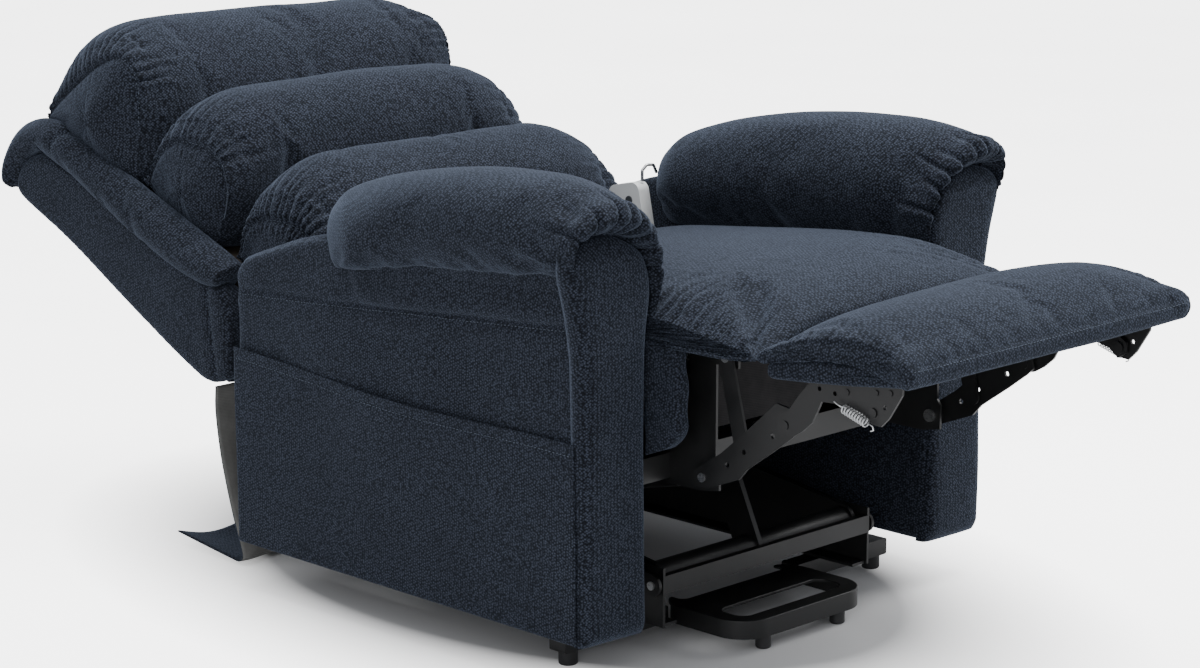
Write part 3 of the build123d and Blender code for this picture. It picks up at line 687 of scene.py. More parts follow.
def pillow(name, cad_node, outline, seam, foot, halves, round_offs, crown, bulge, spacing, seed, below):
    """Stuffed pillow across the back: full in the middle, with a D-shaped panel sewn into each end.

    The seam runs over the end panel, and the top cloth is gathered into it. Halves and round_offs are given
    for the sitter's right side, then the left."""
    ring_count = 168
    base = smooth_line(outline, ring_count, closed=True)
    sewn = round(0.56 * ring_count)
    under = smooth_line([seam[-1], *foot, seam[0]], ring_count - sewn + 2)[1:-1]
    panel = np.vstack([smooth_line(seam, sewn), under])
    if winding(base) * winding(panel) < 0:
        panel = panel[::-1]
    turns = [np.sum((base - np.roll(panel, k, 0)) ** 2) for k in range(ring_count)]
    panel = np.roll(panel, int(np.argmin(turns)), 0)
    middle = panel.mean(axis=0)
    steps = np.linspace(0, 1, 25)[1:]
    rings = []
    for (_, s), half, round_off in zip(SIDES, halves, round_offs):
        run = [(x, 0.0, 0.0) for x in np.linspace(0, half - round_off, 28)]
        run += [(half - round_off + round_off * math.sin(t * math.pi / 2), 1 - math.cos(t * math.pi / 2), 0.0)
                for t in steps]
        run += [(half + bulge * math.sin(c * math.pi / 2), 1.0, c)
                for c in (0.06, 0.14, 0.25, 0.4, 0.55, 0.7, 0.85, 0.95)]
        for x, t, c in (run[::-1] if s < 0 else run[1:]):
            shape = base + (panel - base) * t
            shape = shape + (middle - shape) * c
            lift = crown * (1 - (x / half) ** 2)
            high = np.clip(shape[:, 1] / 0.12, 0, 1)
            y = shape[:, 0] - lift * 0.35 * high
            z = on_deck(shape[:, 0], shape[:, 1]) + lift * high
            rings.append(np.stack([np.full(len(y), s * x), y, z], axis=1))
    obj = loft(name, rings)
    along, up = smooth_line(seam, 60).T
    gathered = int(np.argmax(up)) + 8           # the gathers stop just past the seam's highest point
    ends = [np.stack([np.full(60, s * half), along, on_deck(along, up)], axis=1)
            for (_, s), half in zip(SIDES, halves)]
    co = coords(obj)
    pins = np.zeros(len(co))
    for line in ends:
        d, _ = nearest(co, line)
        pins = np.maximum(pins, np.clip(1.3 - d / 0.03, 0, 1))
    pins = np.maximum(pins, np.where(co[:, 2] < on_deck(co[:, 1], 0.02), 1.0, 0))
    inflate(obj, pins, cap=0.012, slack=0.015)
    subdivide(obj, 1)
    for line, (_, s), half in zip(ends, SIDES, halves):
        def mask(points, s=s, half=half):
            inner = points[:, 0] * s - half
            return np.where(inner > -0.001, below * np.clip(1 - inner / (0.75 * bulge), 0, 1), 1.0)
        gather(obj, line[:gathered], spacing, 0.0072, 0.070, seed + (s > 0), mask, wander=0.4)
        gather(obj, line[:gathered], spacing * 0.5, 0.0016, 0.036, seed + 60 + (s > 0), mask, wander=0.3)
        groove(obj, line, 0.004, 0.005)
    rumple(obj, (0.0030, 11, seed), (0.0007, 30, seed + 5))
    upholstery(obj, "back", [cad_node])
    thread = stitches(name + "_stitches", obj, [line[2:-2] for line in ends], step=0.007)
    return obj, thread


def make_pillows():
    pillow("head_pillow_soft", "head_pillow",
           [(1.014, 0.004), (0.992, 0.07), (0.984, 0.14), (0.998, 0.193), (1.042, 0.215), (1.104, 0.202),
            (1.164, 0.164), (1.208, 0.110), (1.234, 0.056), (1.228, 0.018), (1.170, 0.004), (1.09, 0.002)],
           [(1.228, 0.016), (1.196, 0.052), (1.155, 0.094), (1.098, 0.150), (1.055, 0.184), (1.024, 0.196),
            (1.004, 0.178), (0.998, 0.140), (1.004, 0.100)],
           [(1.012, 0.030), (1.08, 0.006), (1.18, 0.002)], (0.328, 0.292), (0.105, 0.090), 0.003, 0.022,
           0.0150, 11, 0.25)
    pillow("middle_pillow_soft", "middle_pillow",
           [(0.838, 0.004), (0.812, 0.06), (0.797, 0.12), (0.806, 0.174), (0.848, 0.202), (0.904, 0.193),
            (0.954, 0.156), (0.986, 0.105), (1.003, 0.05), (1.000, 0.012), (0.975, 0.003), (0.90, 0.002)],
           [(0.998, 0.030), (0.968, 0.082), (0.930, 0.120), (0.890, 0.138), (0.852, 0.146), (0.826, 0.136),
            (0.814, 0.105), (0.820, 0.068)],
           [(0.845, 0.010), (0.90, 0.004), (0.96, 0.004)], (0.320, 0.276), (0.110, 0.110), 0.006, 0.016,
           0.0150, 21, 0.35)
    lumbar, thread = pillow("lumbar_pillow_soft", "lumbar_pillow",
                            [(0.660, 0.004), (0.624, 0.05), (0.608, 0.11), (0.626, 0.168), (0.676, 0.194),
                             (0.728, 0.187), (0.768, 0.152), (0.794, 0.105), (0.810, 0.05), (0.808, 0.012),
                             (0.785, 0.003), (0.72, 0.002)],
                            [(0.803, 0.016), (0.786, 0.060), (0.754, 0.092), (0.712, 0.114), (0.665, 0.126),
                             (0.632, 0.112), (0.628, 0.07)],
                            [(0.665, 0.010), (0.72, 0.006), (0.775, 0.006)], (0.306, 0.304), (0.115, 0.130),
                            0.008, 0.010, 0.0120, 31, 1.0)
    for part in (lumbar, thread):
        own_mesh(part)


# ---------------------------------------------------------------- seat
def spread(u, share):
    """-1..1 -> -1..1, closer together towards both ends."""
    return math.sin(u * math.pi / 2 * share) / math.sin(math.pi / 2 * share)


def seat_edge(s):
    """Sewn side edge of the seat cushion, round its front corner."""
    return [(s * x, y, z) for x, y, z in [(0.284, 0.05, 0.462), (0.285, 0.0, 0.459), (0.285, -0.06, 0.457),
                                          (0.284, -0.12, 0.457), (0.278, -0.168, 0.461)]]


def make_seat():
    """Crowned seat cushion with a waterfall front edge, gathered at its front corners."""
    side_view = [(0.470, 0.452), (0.43, 0.468), (0.35, 0.482), (0.233, 0.497), (0.10, 0.511), (0.0, 0.514),
                 (-0.06, 0.510), (-0.12, 0.500), (-0.165, 0.486), (-0.186, 0.472), (-0.182, 0.460),
                 (-0.15, 0.454), (-0.09, 0.4525), (0.0, 0.4525), (0.05, 0.440), (0.10, 0.418), (0.30, 0.414),
                 (0.49, 0.414), (0.505, 0.430)]
    base = smooth_line(side_view, 200, closed=True)
    half, middle = 0.284, 0.15      # half the width, and where the sides narrow towards
    crown_foot = 0.452
    rings = []
    for u in np.linspace(-1, 1, 59):
        x = spread(u, 0.97) * half
        t = abs(x) / half
        y, z = base[:, 0], base[:, 1].copy()
        high = np.clip((z - crown_foot) / 0.05, 0, 1)
        side_drop = 0.030 * t ** 6 + 0.004 * t ** 2
        z -= high * side_drop
        z += high * 0.010 * (1 - t ** 2)
        squeeze = 1 - 0.02 * t ** 8
        y = middle + (y - middle) * squeeze
        rings.append(np.stack([np.full(len(y), x), y, z], axis=1))
    obj = loft("seat_cushion_soft", rings)
    co = coords(obj)
    pins = np.where((co[:, 2] < 0.458) | (co[:, 1] > 0.47), 1.0, 0.0)
    inflate(obj, pins, cap=0.010, slack=0.02)
    subdivide(obj, 2)
    for _, s in SIDES:
        edge = seat_edge(s)
        gather(obj, edge, 0.0210, 0.0060, 0.085, 41 + (s > 0), wander=0.5)
        gather(obj, edge, 0.0105, 0.0046, 0.036, 45 + (s > 0), wander=0.2)
        groove(obj, edge, 0.003, 0.004)
        far = [(s * 0.27, 0.06, 0.49), (s * 0.2, -0.02, 0.512), (s * 0.12, -0.10, 0.507)]
        gather(obj, far, 0.05, 0.0030, 0.05, 61 + (s > 0))
    rumple(obj, (0.0026, 9, 5), (0.0006, 26, 9))
    upholstery(obj, "chassis", ["seat_cushion"])
    stitches("seat_cushion_stitches", obj, [seat_edge(-1)], step=0.008)


def make_gap_cloth():
    """Cloth from the seat's rear rail to the lumbar pillow, across the gap between them."""
    width = 0.500
    line = smooth_line([(0.506, 0.431), (0.532, 0.4205), (0.585, 0.4070), (0.640, 0.409)], 40)
    across = np.linspace(-width / 2, width / 2, 60)
    rows = [[(x, y, z + 0.0015 * math.sin(x * 40 + y * 30)) for x in across] for y, z in line]
    obj = patch("back_gap_cloth", rows)
    thicken(obj, 0.0020)
    paint(obj, "fabric")
    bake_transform(obj)


# ---------------------------------------------------------------- arms
# Arm pad: its outer seam and its crest as (y, z); each side as (x, share of the height); the arch sewn round
# the scroll and the pad's skin at the front as (x, z); and how far the lip stands forward along the arch.
PAD_SEAM = [(-0.02, 0.549), (0.0, 0.549), (0.069, 0.546), (0.265, 0.527), (0.455, 0.502), (0.56, 0.493)]
PAD_CREST = [(-0.06, 0.648), (-0.01, 0.654), (0.04, 0.657), (0.116, 0.656), (0.21, 0.652), (0.30, 0.643),
             (0.40, 0.627), (0.465, 0.611), (0.50, 0.600), (0.53, 0.588)]
PAD_OUTSIDE = [(0.404, 0.0), (0.4215, 0.10), (0.4325, 0.26), (0.4355, 0.44), (0.4285, 0.65), (0.409, 0.84),
               (0.379, 0.96), (0.345, 1.0)]
PAD_INSIDE = [(0.312, 0.965), (0.283, 0.88), (0.262, 0.75), (0.2505, 0.57), (0.2525, 0.38), (0.262, 0.20),
              (0.275, 0.06), (0.285, 0.0)]
ARCH = [(0.414, 0.548), (0.422, 0.572), (0.418, 0.592), (0.397, 0.602), (0.363, 0.603), (0.328, 0.596),
        (0.304, 0.580), (0.287, 0.558), (0.279, 0.530), (0.277, 0.506), (0.280, 0.484)]
PAD_FRONT = [(0.408, 0.552), (0.418, 0.558), (0.427, 0.570), (0.430, 0.590), (0.425, 0.613), (0.409, 0.632),
             (0.384, 0.643), (0.360, 0.644), (0.334, 0.638), (0.309, 0.624), (0.285, 0.602), (0.269, 0.577),
             (0.2615, 0.552), (0.2625, 0.526), (0.269, 0.502), (0.279, 0.484)]
LIP = [(0.0, 0.003), (0.08, 0.008), (0.18, 0.017), (0.30, 0.027), (0.42, 0.031), (0.55, 0.026), (0.68, 0.017),
       (0.78, 0.012), (0.90, 0.008), (1.0, 0.004)]


def pad_ring(y):
    """Skin of an arm pad at one station: outer seam, over the top, down the inner side, back underneath."""
    seam, crest = curve_value(PAD_SEAM, y), curve_value(PAD_CREST, y)
    inner_low = 0.478 - 0.02 * max(0.0, y - 0.3) / 0.25
    points = [(x, seam + h * (crest - seam)) for x, h in PAD_OUTSIDE]
    points += [(x, inner_low + h * (crest - inner_low)) for x, h in PAD_INSIDE]
    near_front = min(max((0.12 - y) / 0.12, 0.0), 1.0) ** 1.6
    return np.array(points) * (1 - near_front) + np.array(PAD_FRONT) * near_front


def tail_round(x, y):
    """The pad's rear end is round in plan: its sides stop well before its middle."""
    outside = 8.0 * np.maximum(np.abs(x) - 0.315, 0) ** 2
    inside = 6.0 * np.maximum(0.335 - np.abs(x), 0) ** 2
    return -(outside + inside) * np.clip((y - 0.30) / 0.25, 0, 1)


def make_pad(side_name, s):
    """Stuffed pad over the arm, gathered into an arched lip above the scroll."""
    over, under = 96, 22            # points of a ring over the top and underneath
    end_y, taper = 0.553, 0.060     # the rear end, and the length that it closes in
    arch = smooth_line(ARCH, over)
    rings = []
    for y in np.concatenate([end_y - taper * (1 - np.sin(np.linspace(1, 0.05, 18) * math.pi / 2)),
                             np.linspace(0.485, 0.02, 50), [0.012, 0.005]]):
        line = smooth_line(pad_ring(y), over)
        t = max(0.0, (y - (end_y - taper)) / taper)
        shrink = max(1 - t ** 2.4, 0.0004) ** (1 / 2.4)
        hub = np.array([0.340, curve_value(PAD_SEAM, y) + 0.030])
        size = 0.05 + 0.95 * shrink
        line = hub + (line - hub) * size
        below = hub + (np.array([(0.300, 0.488), (0.345, 0.500), (0.390, 0.505)]) - hub) * size
        ring = np.vstack([line, smooth_line([line[-1], *below, line[0]], under + 2)[1:-1]])
        rings.append(np.stack([s * ring[:, 0], y + tail_round(ring[:, 0], y), ring[:, 1]], axis=1))
    full = smooth_line(pad_ring(0.0), over)
    reach = curve_value(LIP, np.linspace(0, 1, over))
    for angle in np.linspace(0.10, 1.0, 16) * math.pi:
        t = (1 - math.cos(angle)) / 2
        line = full + (arch - full) * t
        below = smooth_line([line[-1], (0.31, 0.50), (0.35, 0.52), (0.395, 0.535), line[0]], under + 2)[1:-1]
        forward = -reach * math.sin(angle) ** 0.85 + 0.016 * max(0.0, t - 0.5) * 2
        y = np.concatenate([forward, np.full(under, 0.004 + 0.012 * t)])
        ring = np.vstack([line, below])
        rings.append(np.stack([s * ring[:, 0], y, ring[:, 1]], axis=1))
    obj = loft("arm_pad_soft_" + side_name, rings)
    rim = full + (arch - full) * 0.75
    rim_line = np.stack([s * rim[:, 0], -0.85 * reach, rim[:, 1]], axis=1)
    seam_y = np.linspace(0.03, 0.455, 36)
    seam_line = np.stack([np.full(36, s * 0.405), seam_y, curve_value(PAD_SEAM, seam_y)], axis=1)
    co = coords(obj)
    pins = np.where(co[:, 2] < curve_value(PAD_SEAM, co[:, 1]) - 0.004, 1.0, 0.0)
    pins = np.where((np.abs(co[:, 0]) < 0.30) & (co[:, 2] > 0.48), 0.0, pins)
    d, _ = nearest(co, rim_line)
    pins = np.maximum(pins, np.clip(1.4 - d / 0.02, 0, 1))
    inflate(obj, pins, cap=0.006, slack=0.015)
    soften(obj, 2)
    subdivide(obj, 1)
    lip = [tuple(p) for p in rim_line[14:-6:4]]
    gather(obj, lip, 0.028, 0.0008, 0.060, 71 + (s > 0), wander=0.4)
    tucks(obj, lip, (0.06, 0.17, 0.29, 0.38, 0.49, 0.60, 0.72, 0.84), 0.0066, 0.056, 71 + (s > 0))
    fan(obj, (s * 0.430, 0.020, 0.562), 9, 0.0052, 0.038, 81 + (s > 0))
    groove(obj, seam_line, 0.003, 0.004, 0.0012)
    rumple(obj, (0.0022, 12, 12), (0.0004, 34, 13))
    upholstery(obj, "chassis", ["arm_pad_" + side_name])
    stitches("arm_pad_stitches_" + side_name, obj, [seam_line[1:-1:4] + np.array([0, 0, 0.004])], step=0.0065)


def plate_rings(outline, x_in, x_out, edge, s, bulge=0.0, layers=5, fills=7):
    """Closed upholstered slab seen from the side: rounded edges, slightly full faces."""
    centre = outline.mean(axis=0)
    nxt, prv = np.roll(outline, -1, 0), np.roll(outline, 1, 0)
    tangent = nxt - prv
    tangent /= np.linalg.norm(tangent, axis=1)[:, None]
    inward = np.stack([-tangent[:, 1], tangent[:, 0]], axis=1)
    if np.sum(inward * (centre - outline)) < 0:
        inward = -inward
    rings = []

    def ring(x, inset, share):
        shape = outline + inward * inset
        shape = shape + (centre - shape) * share
        return np.stack([np.full(len(shape), s * x), shape[:, 0], shape[:, 1]], axis=1)
    for share in np.linspace(0.98, 0.06, fills):
        rings.append(ring(x_in - bulge * (1 - (1 - share) ** 2) * 0.3, edge, share))
    for a in np.linspace(0, math.pi / 2, layers):
        rings.append(ring(x_in + edge * (1 - math.cos(a)), edge * (1 - math.sin(a)), 0))
    for a in np.linspace(math.pi / 2, 0, layers):
        rings.append(ring(x_out - edge * (1 - math.cos(a)), edge * (1 - math.sin(a)), 0))
    for share in np.linspace(0.06, 0.98, fills):
        rings.append(ring(x_out + bulge * (1 - (1 - share) ** 2), edge, share))
    return rings


def make_arm_cover(side_name, s):
    """Body of the arm under its pad: one slab, with the pad's seam and the fabric band behind the scroll."""
    outline = smooth_polygon([(0.006, 0.066), (0.700, 0.066), (0.700, 0.473), (0.668, 0.487), (0.548, 0.530),
                              (0.470, 0.536), (0.006, 0.536)],
                             [0.004, 0.006, 0.016, 0.03, 0.04, 0.02, 0.004], 110)
    obj = loft("arm_cover_soft_" + side_name, plate_rings(outline, 0.2852, 0.3985, 0.006, s, bulge=0.003))
    remesh(obj, 0.008)
    soften(obj, 3)
    subdivide(obj, 1)
    seam = [(s * x, y, z) for x, y, z in [(0.400, 0.698, 0.4345), (0.401, 0.50, 0.447), (0.401, 0.30, 0.462),
                                          (0.401, 0.16, 0.473), (0.401, 0.06, 0.481), (0.400, 0.008, 0.487)]]
    groove(obj, seam, 0.0035, 0.0045, 0.0015)
    co = coords(obj)
    outer = (np.abs(co[:, 0]) > 0.385).astype(float)
    seam_z = curve_value([(y, z) for _, y, z in seam], co[:, 1])
    fold = 0.470 - 0.55 * (0.52 - co[:, 2])
    band = smoothstep((fold - co[:, 1]) / 0.026) * smoothstep((co[:, 2] - seam_z) / 0.012)
    uneven = 0.0030 * field(co, 9, 21) + 0.0014 * field(co, 26, 22)
    shift(obj, outer * (uneven + 0.0028 * band))
    upholstery(obj, "chassis", ["arm_cover_" + side_name])
    stitches("arm_cover_stitches_" + side_name, obj, [[(x, y, z - 0.004) for x, y, z in seam]], step=0.0065)


def make_scroll(side_name, s):
    """Scroll-shaped front of the arm: one padded panel with a sewn edge."""
    outer = [(0.066, 0.4005), (0.25, 0.401), (0.42, 0.403), (0.464, 0.407), (0.505, 0.415), (0.535, 0.423),
             (0.560, 0.429), (0.580, 0.427), (0.594, 0.414), (0.602, 0.392), (0.6045, 0.366)]
    inner = [(0.066, 0.286), (0.25, 0.289), (0.40, 0.292), (0.464, 0.288), (0.505, 0.280), (0.530, 0.279),
             (0.556, 0.285), (0.578, 0.299), (0.593, 0.323), (0.602, 0.345), (0.6045, 0.364)]
    shoulder = 0.50                 # above this the panel's levels crowd together and its height is squeezed
    levels = np.concatenate([np.linspace(0.066, shoulder, 56),
                             shoulder + 0.1044 * np.sin(np.linspace(0.03, 1, 40) * math.pi / 2)])
    n, m = len(levels), 41
    across = np.linspace(-1, 1, m)
    verts = []
    for z in levels:
        a, b = curve_value(inner, z), curve_value(outer, z)
        top = np.clip((0.6045 - z) / 0.03, 0, 1)
        low = np.clip((z - 0.060) / 0.02, 0, 1)
        full = (1 - np.abs(across) ** 5) * top ** 0.5 * low ** 0.5
        x = (a + b) / 2 + (b - a) / 2 * np.sin(across * math.pi / 2)
        height = z - 0.055 * max(z - shoulder, 0.0)
        verts += zip(s * x, 0.014 - 0.020 * full, [height] * m)
    faces = grid_faces(n, m)
    border = [*range(m)] + [j * m + m - 1 for j in range(1, n)]
    border += [(n - 1) * m + i for i in range(m - 2, -1, -1)] + [j * m for j in range(n - 2, 0, -1)]
    back = {}
    for b in border:
        back[b] = len(verts)
        x, y, z = verts[b]
        verts.append((x * 0.998, 0.020, z))
    for i, b in enumerate(border):
        c = border[(i + 1) % len(border)]
        faces.append((b, c, back[c], back[b]))
    faces.append([back[b] for b in border])
    obj = fix_normals(to_mesh("arm_front_soft_" + side_name, verts, faces))
    rumple(obj, (0.0016, 18, 31 + (s > 0)), (0.0007, 45, 33))
    upholstery(obj, "chassis", ["arm_front_panel_" + side_name])


def make_pocket():
    """Flat pocket on the outside of the right arm: slack top edge with a turned hem."""
    arm_length, low = 0.70, 0.070

    def top_edge(y):
        return 0.336 + 0.0185 * y / arm_length - 0.010 * math.sin(math.pi * y / arm_length) ** 2

    rows = []
    for h in np.concatenate([np.linspace(0, 1, 44), [1.0, 0.985, 0.95]]):
        rows.append([])
        for y in np.linspace(0.012, 0.694, 90):
            sag = 0.0055 * math.sin(math.pi * y / arm_length) * max(0.0, (h - 0.35) / 0.65) ** 1.5
            rows[-1].append([-(0.4042 + sag), y, low + (top_edge(y) - low) * h])
    rows = np.array(rows)
    rows[-3:, :, 0] += np.array([0.0012, 0.0028, 0.0036])[:, None]      # the hem turns in
    obj = patch("side_pocket_soft", rows)
    co = coords(obj)
    high = np.clip((co[:, 2] - 0.10) / 0.2, 0, 1)
    co[:, 0] -= high * (0.0016 * field(co, 22, 3) + 0.0013 * field(co, 9, 4))
    put_coords(obj, co)
    thicken(obj, 0.0022)
    subdivide(obj, 1)
    hem = [(-0.409, y, top_edge(y) - 0.016) for y in np.linspace(0.02, 0.69, 12)]
    groove(obj, hem, 0.0014, 0.003)
    upholstery(obj, "chassis", ["side_pocket"])
    stitches("side_pocket_stitches", obj, [hem], step=0.0065)


def make_corner_flaps():
    """Fabric flaps that close the gap between the seat's front corners and the arms."""
    outline = smooth_polygon([(0.012, 0.296), (0.012, 0.452), (-0.048, 0.452), (-0.052, 0.336),
                              (-0.030, 0.312)], [0.004, 0.004, 0.006, 0.02, 0.02], 70)
    for side_name, s in SIDES:
        rings = plate_rings(outline, 0.2645, 0.2835, 0.0035, s, bulge=0.001, layers=4, fills=5)
        obj = loft("seat_corner_flap_soft_" + side_name, rings)
        subdivide(obj, 1)
        rumple(obj, (0.0030, 38, 51 + (s > 0)), (0.0012, 110, 53))
        upholstery(obj, "chassis", ["seat_corner_flaps"])


# ---------------------------------------------------------------- back
def make_wing(side_name, s):
    """Side of the back: a plain panel."""
    outline = smooth_polygon([(0.757, 0.288), (0.815, 0.270), (1.258, 0.484), (1.279, 0.497), (1.268, 0.540),
                              (1.224, 0.560), (1.191, 0.562), (1.141, 0.550), (1.044, 0.511), (0.949, 0.470),
                              (0.856, 0.436), (0.775, 0.420), (0.760, 0.400)],
                             [0.02] * 11 + [0.01, 0.02], 130)
    obj = loft("back_side_soft_" + side_name, plate_rings(outline, 0.3235, 0.3600, 0.008, s, bulge=0.0015))
    remesh(obj, 0.008)
    soften(obj, 2)
    subdivide(obj, 1)
    down = [(s * 0.361, 0.805, 0.435), (s * 0.361, 0.800, 0.37), (s * 0.361, 0.790, 0.285)]
    groove(obj, down, 0.0025, 0.0035, 0.0010)
    rumple(obj, (0.0022, 12, 91), (0.0009, 30, 92), where=np.abs(coords(obj)[:, 0]) > 0.35)
    upholstery(obj, "back", ["back_wing_" + side_name])
    stitches("back_side_stitches_" + side_name, obj, [down], step=0.010)


def make_bolster(side_name, s):
    """Padded strip along the wing's front edge, rolled over at the top."""
    spine = smooth_line([(0.770, 0.4215, 0.452), (0.799, 0.4235, 0.462), (0.856, 0.438, 0.484),
                         (0.949, 0.472, 0.520), (1.044, 0.513, 0.556), (1.108, 0.541, 0.582),
                         (1.157, 0.560, 0.600), (1.195, 0.569, 0.612), (1.228, 0.560, 0.607),
                         (1.255, 0.540, 0.590), (1.276, 0.515, 0.555), (1.284, 0.500, 0.522)], 110)
    rings = []
    for i, (y, low, high) in enumerate(spine):
        puff = min(1.0, (i + 2) / 8, (len(spine) - i + 1) / 6) ** 0.5
        tall = high - low
        lean = np.interp(y, [1.19, 1.25, 1.284], [0.0, 0.012, 0.022])
        shape = [(0.352, low - 0.004), (0.3655, low - 0.002), (0.3735, low + tall * 0.22),
                 (0.3740, low + tall * 0.50), (0.3665, low + tall * 0.80), (0.352, high),
                 (0.338, low + tall * 1.04), (0.3255, low + tall * 0.94), (0.3205, low + tall * 0.66),
                 (0.3205, low + tall * 0.25), (0.326, low - 0.010), (0.340, low - 0.010)]
        ring = smooth_line(shape, 64, closed=True)
        hub = np.array([0.346, (low + high) / 2])
        ring = hub + (ring - hub) * (0.80 + 0.20 * puff)
        share = (ring[:, 1] - low) / max(tall, 0.01)
        along = y + lean * share - 0.02 * (share - 0.5) * (y < 1.2)
        rings.append(np.stack([s * ring[:, 0], along, ring[:, 1]], axis=1))
    obj = loft("back_bolster_soft_" + side_name, rings)
    co = coords(obj)
    inflate(obj, np.where(np.abs(co[:, 0]) < 0.335, 1.0, 0.0), cap=0.004, slack=0.01)
    subdivide(obj, 1)
    cross = [(s * x, y, z) for x, y, z in [(0.376, 1.168, 0.565), (0.374, 1.158, 0.585),
                                           (0.352, 1.150, 0.602), (0.330, 1.146, 0.600)]]
    groove(obj, cross, 0.003, 0.0035, 0.0012)
    rumple(obj, (0.0016, 14, 95), (0.0004, 40, 96))
    upholstery(obj, "back")
    stitches("back_bolster_stitches_" + side_name, obj, [cross], step=0.006)


def make_top_roll():
    """Padded roll along the top edge of the back."""
    outline = smooth_polygon([(1.150, 0.566), (1.236, 0.486), (1.256, 0.486), (1.280, 0.499), (1.287, 0.520),
                              (1.270, 0.556), (1.243, 0.585), (1.212, 0.600), (1.180, 0.600)],
                             [0.02, 0.01, 0.01, 0.012, 0.02, 0.03, 0.03, 0.03, 0.02], 90)
    rings = []
    for x in np.linspace(-0.325, 0.325, 60):
        full = 1 - (x / 0.36) ** 8
        hub = outline.mean(axis=0)
        shape = hub + (outline - hub) * (0.94 + 0.06 * full)
        rings.append(np.stack([np.full(len(shape), x), shape[:, 0], shape[:, 1]], axis=1))
    obj = loft("back_top_roll_soft", rings)
    subdivide(obj, 1)
    rumple(obj, (0.0022, 17, 97), (0.001, 40, 98))
    upholstery(obj, "back", ["back_top_roll"])


def make_rear_panel():
    """Fabric panel across the rear of the back, drawn tight over its frame."""
    low, high = np.array([0.812, 0.266]), np.array([1.262, 0.484])
    along = (high - low) / np.linalg.norm(high - low)
    up = np.array([-along[1], along[0]])
    span = np.linalg.norm(high - low)
    rows = []
    for t in np.linspace(0, 1, 60):
        row = []
        for u in np.linspace(-1, 1, 80):
            edge = min(1, (1 - abs(u)) / 0.05, t / 0.05 + 0.02, (1 - t) / 0.05 + 0.02)
            full = 0.0005 + 0.006 * max(edge, 0) ** 0.5
            point = low + along * (t * span) - up * (full - 0.004)
            row.append([u * 0.3225, point[0], point[1]])
        rows.append(row)
    obj = patch("back_rear_panel_soft", rows)
    thicken(obj, 0.006, 1 if normals(obj)[:, 2].mean() > 0 else -1)
    rumple(obj, (0.002, 10, 101))
    upholstery(obj, "back", ["back_rear_panel"])


def make_flap():
    """Limp fabric flap below the back: navy outside, grey lining inside."""
    width = 0.672
    drop = smooth_line([(0.824, 0.262), (0.827, 0.225), (0.8215, 0.17), (0.811, 0.12), (0.797, 0.07),
                        (0.784, 0.034), (0.779, 0.014), (0.787, 0.0050), (0.805, 0.0040), (0.86, 0.0040),
                        (0.924, 0.0045)], 90)
    rows = []
    for i, (y, z) in enumerate(drop):
        t = i / (len(drop) - 1)
        row = []
        for u in np.linspace(-1, 1, 121):
            free = np.clip(t / 0.5, 0, 1)
            wave_y = 0.006 * free * math.sin(u * 9.0 + 0.6) + 0.003 * free * math.sin(u * 23 + 2)
            lift = max(0.0, t - 0.62) / 0.38
            wave_z = lift * (0.006 * (1 + math.sin(u * 11 + 1.1)) + 0.010 * abs(u) ** 4)
            row.append([u * width / 2, y + wave_y * (1 - lift), z + wave_z])
        rows.append(row)
    obj = patch("rear_flap_soft", rows)
    if normals(obj)[:40, 1].mean() < 0:
        obj.data.flip_normals()
    paint(obj, "fabric", "lining")
    apply_modifier(obj, "SOLIDIFY", thickness=0.0022, offset=0, material_offset=1, material_offset_rim=0)
    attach(obj, "flap")
    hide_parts("rear_flap")


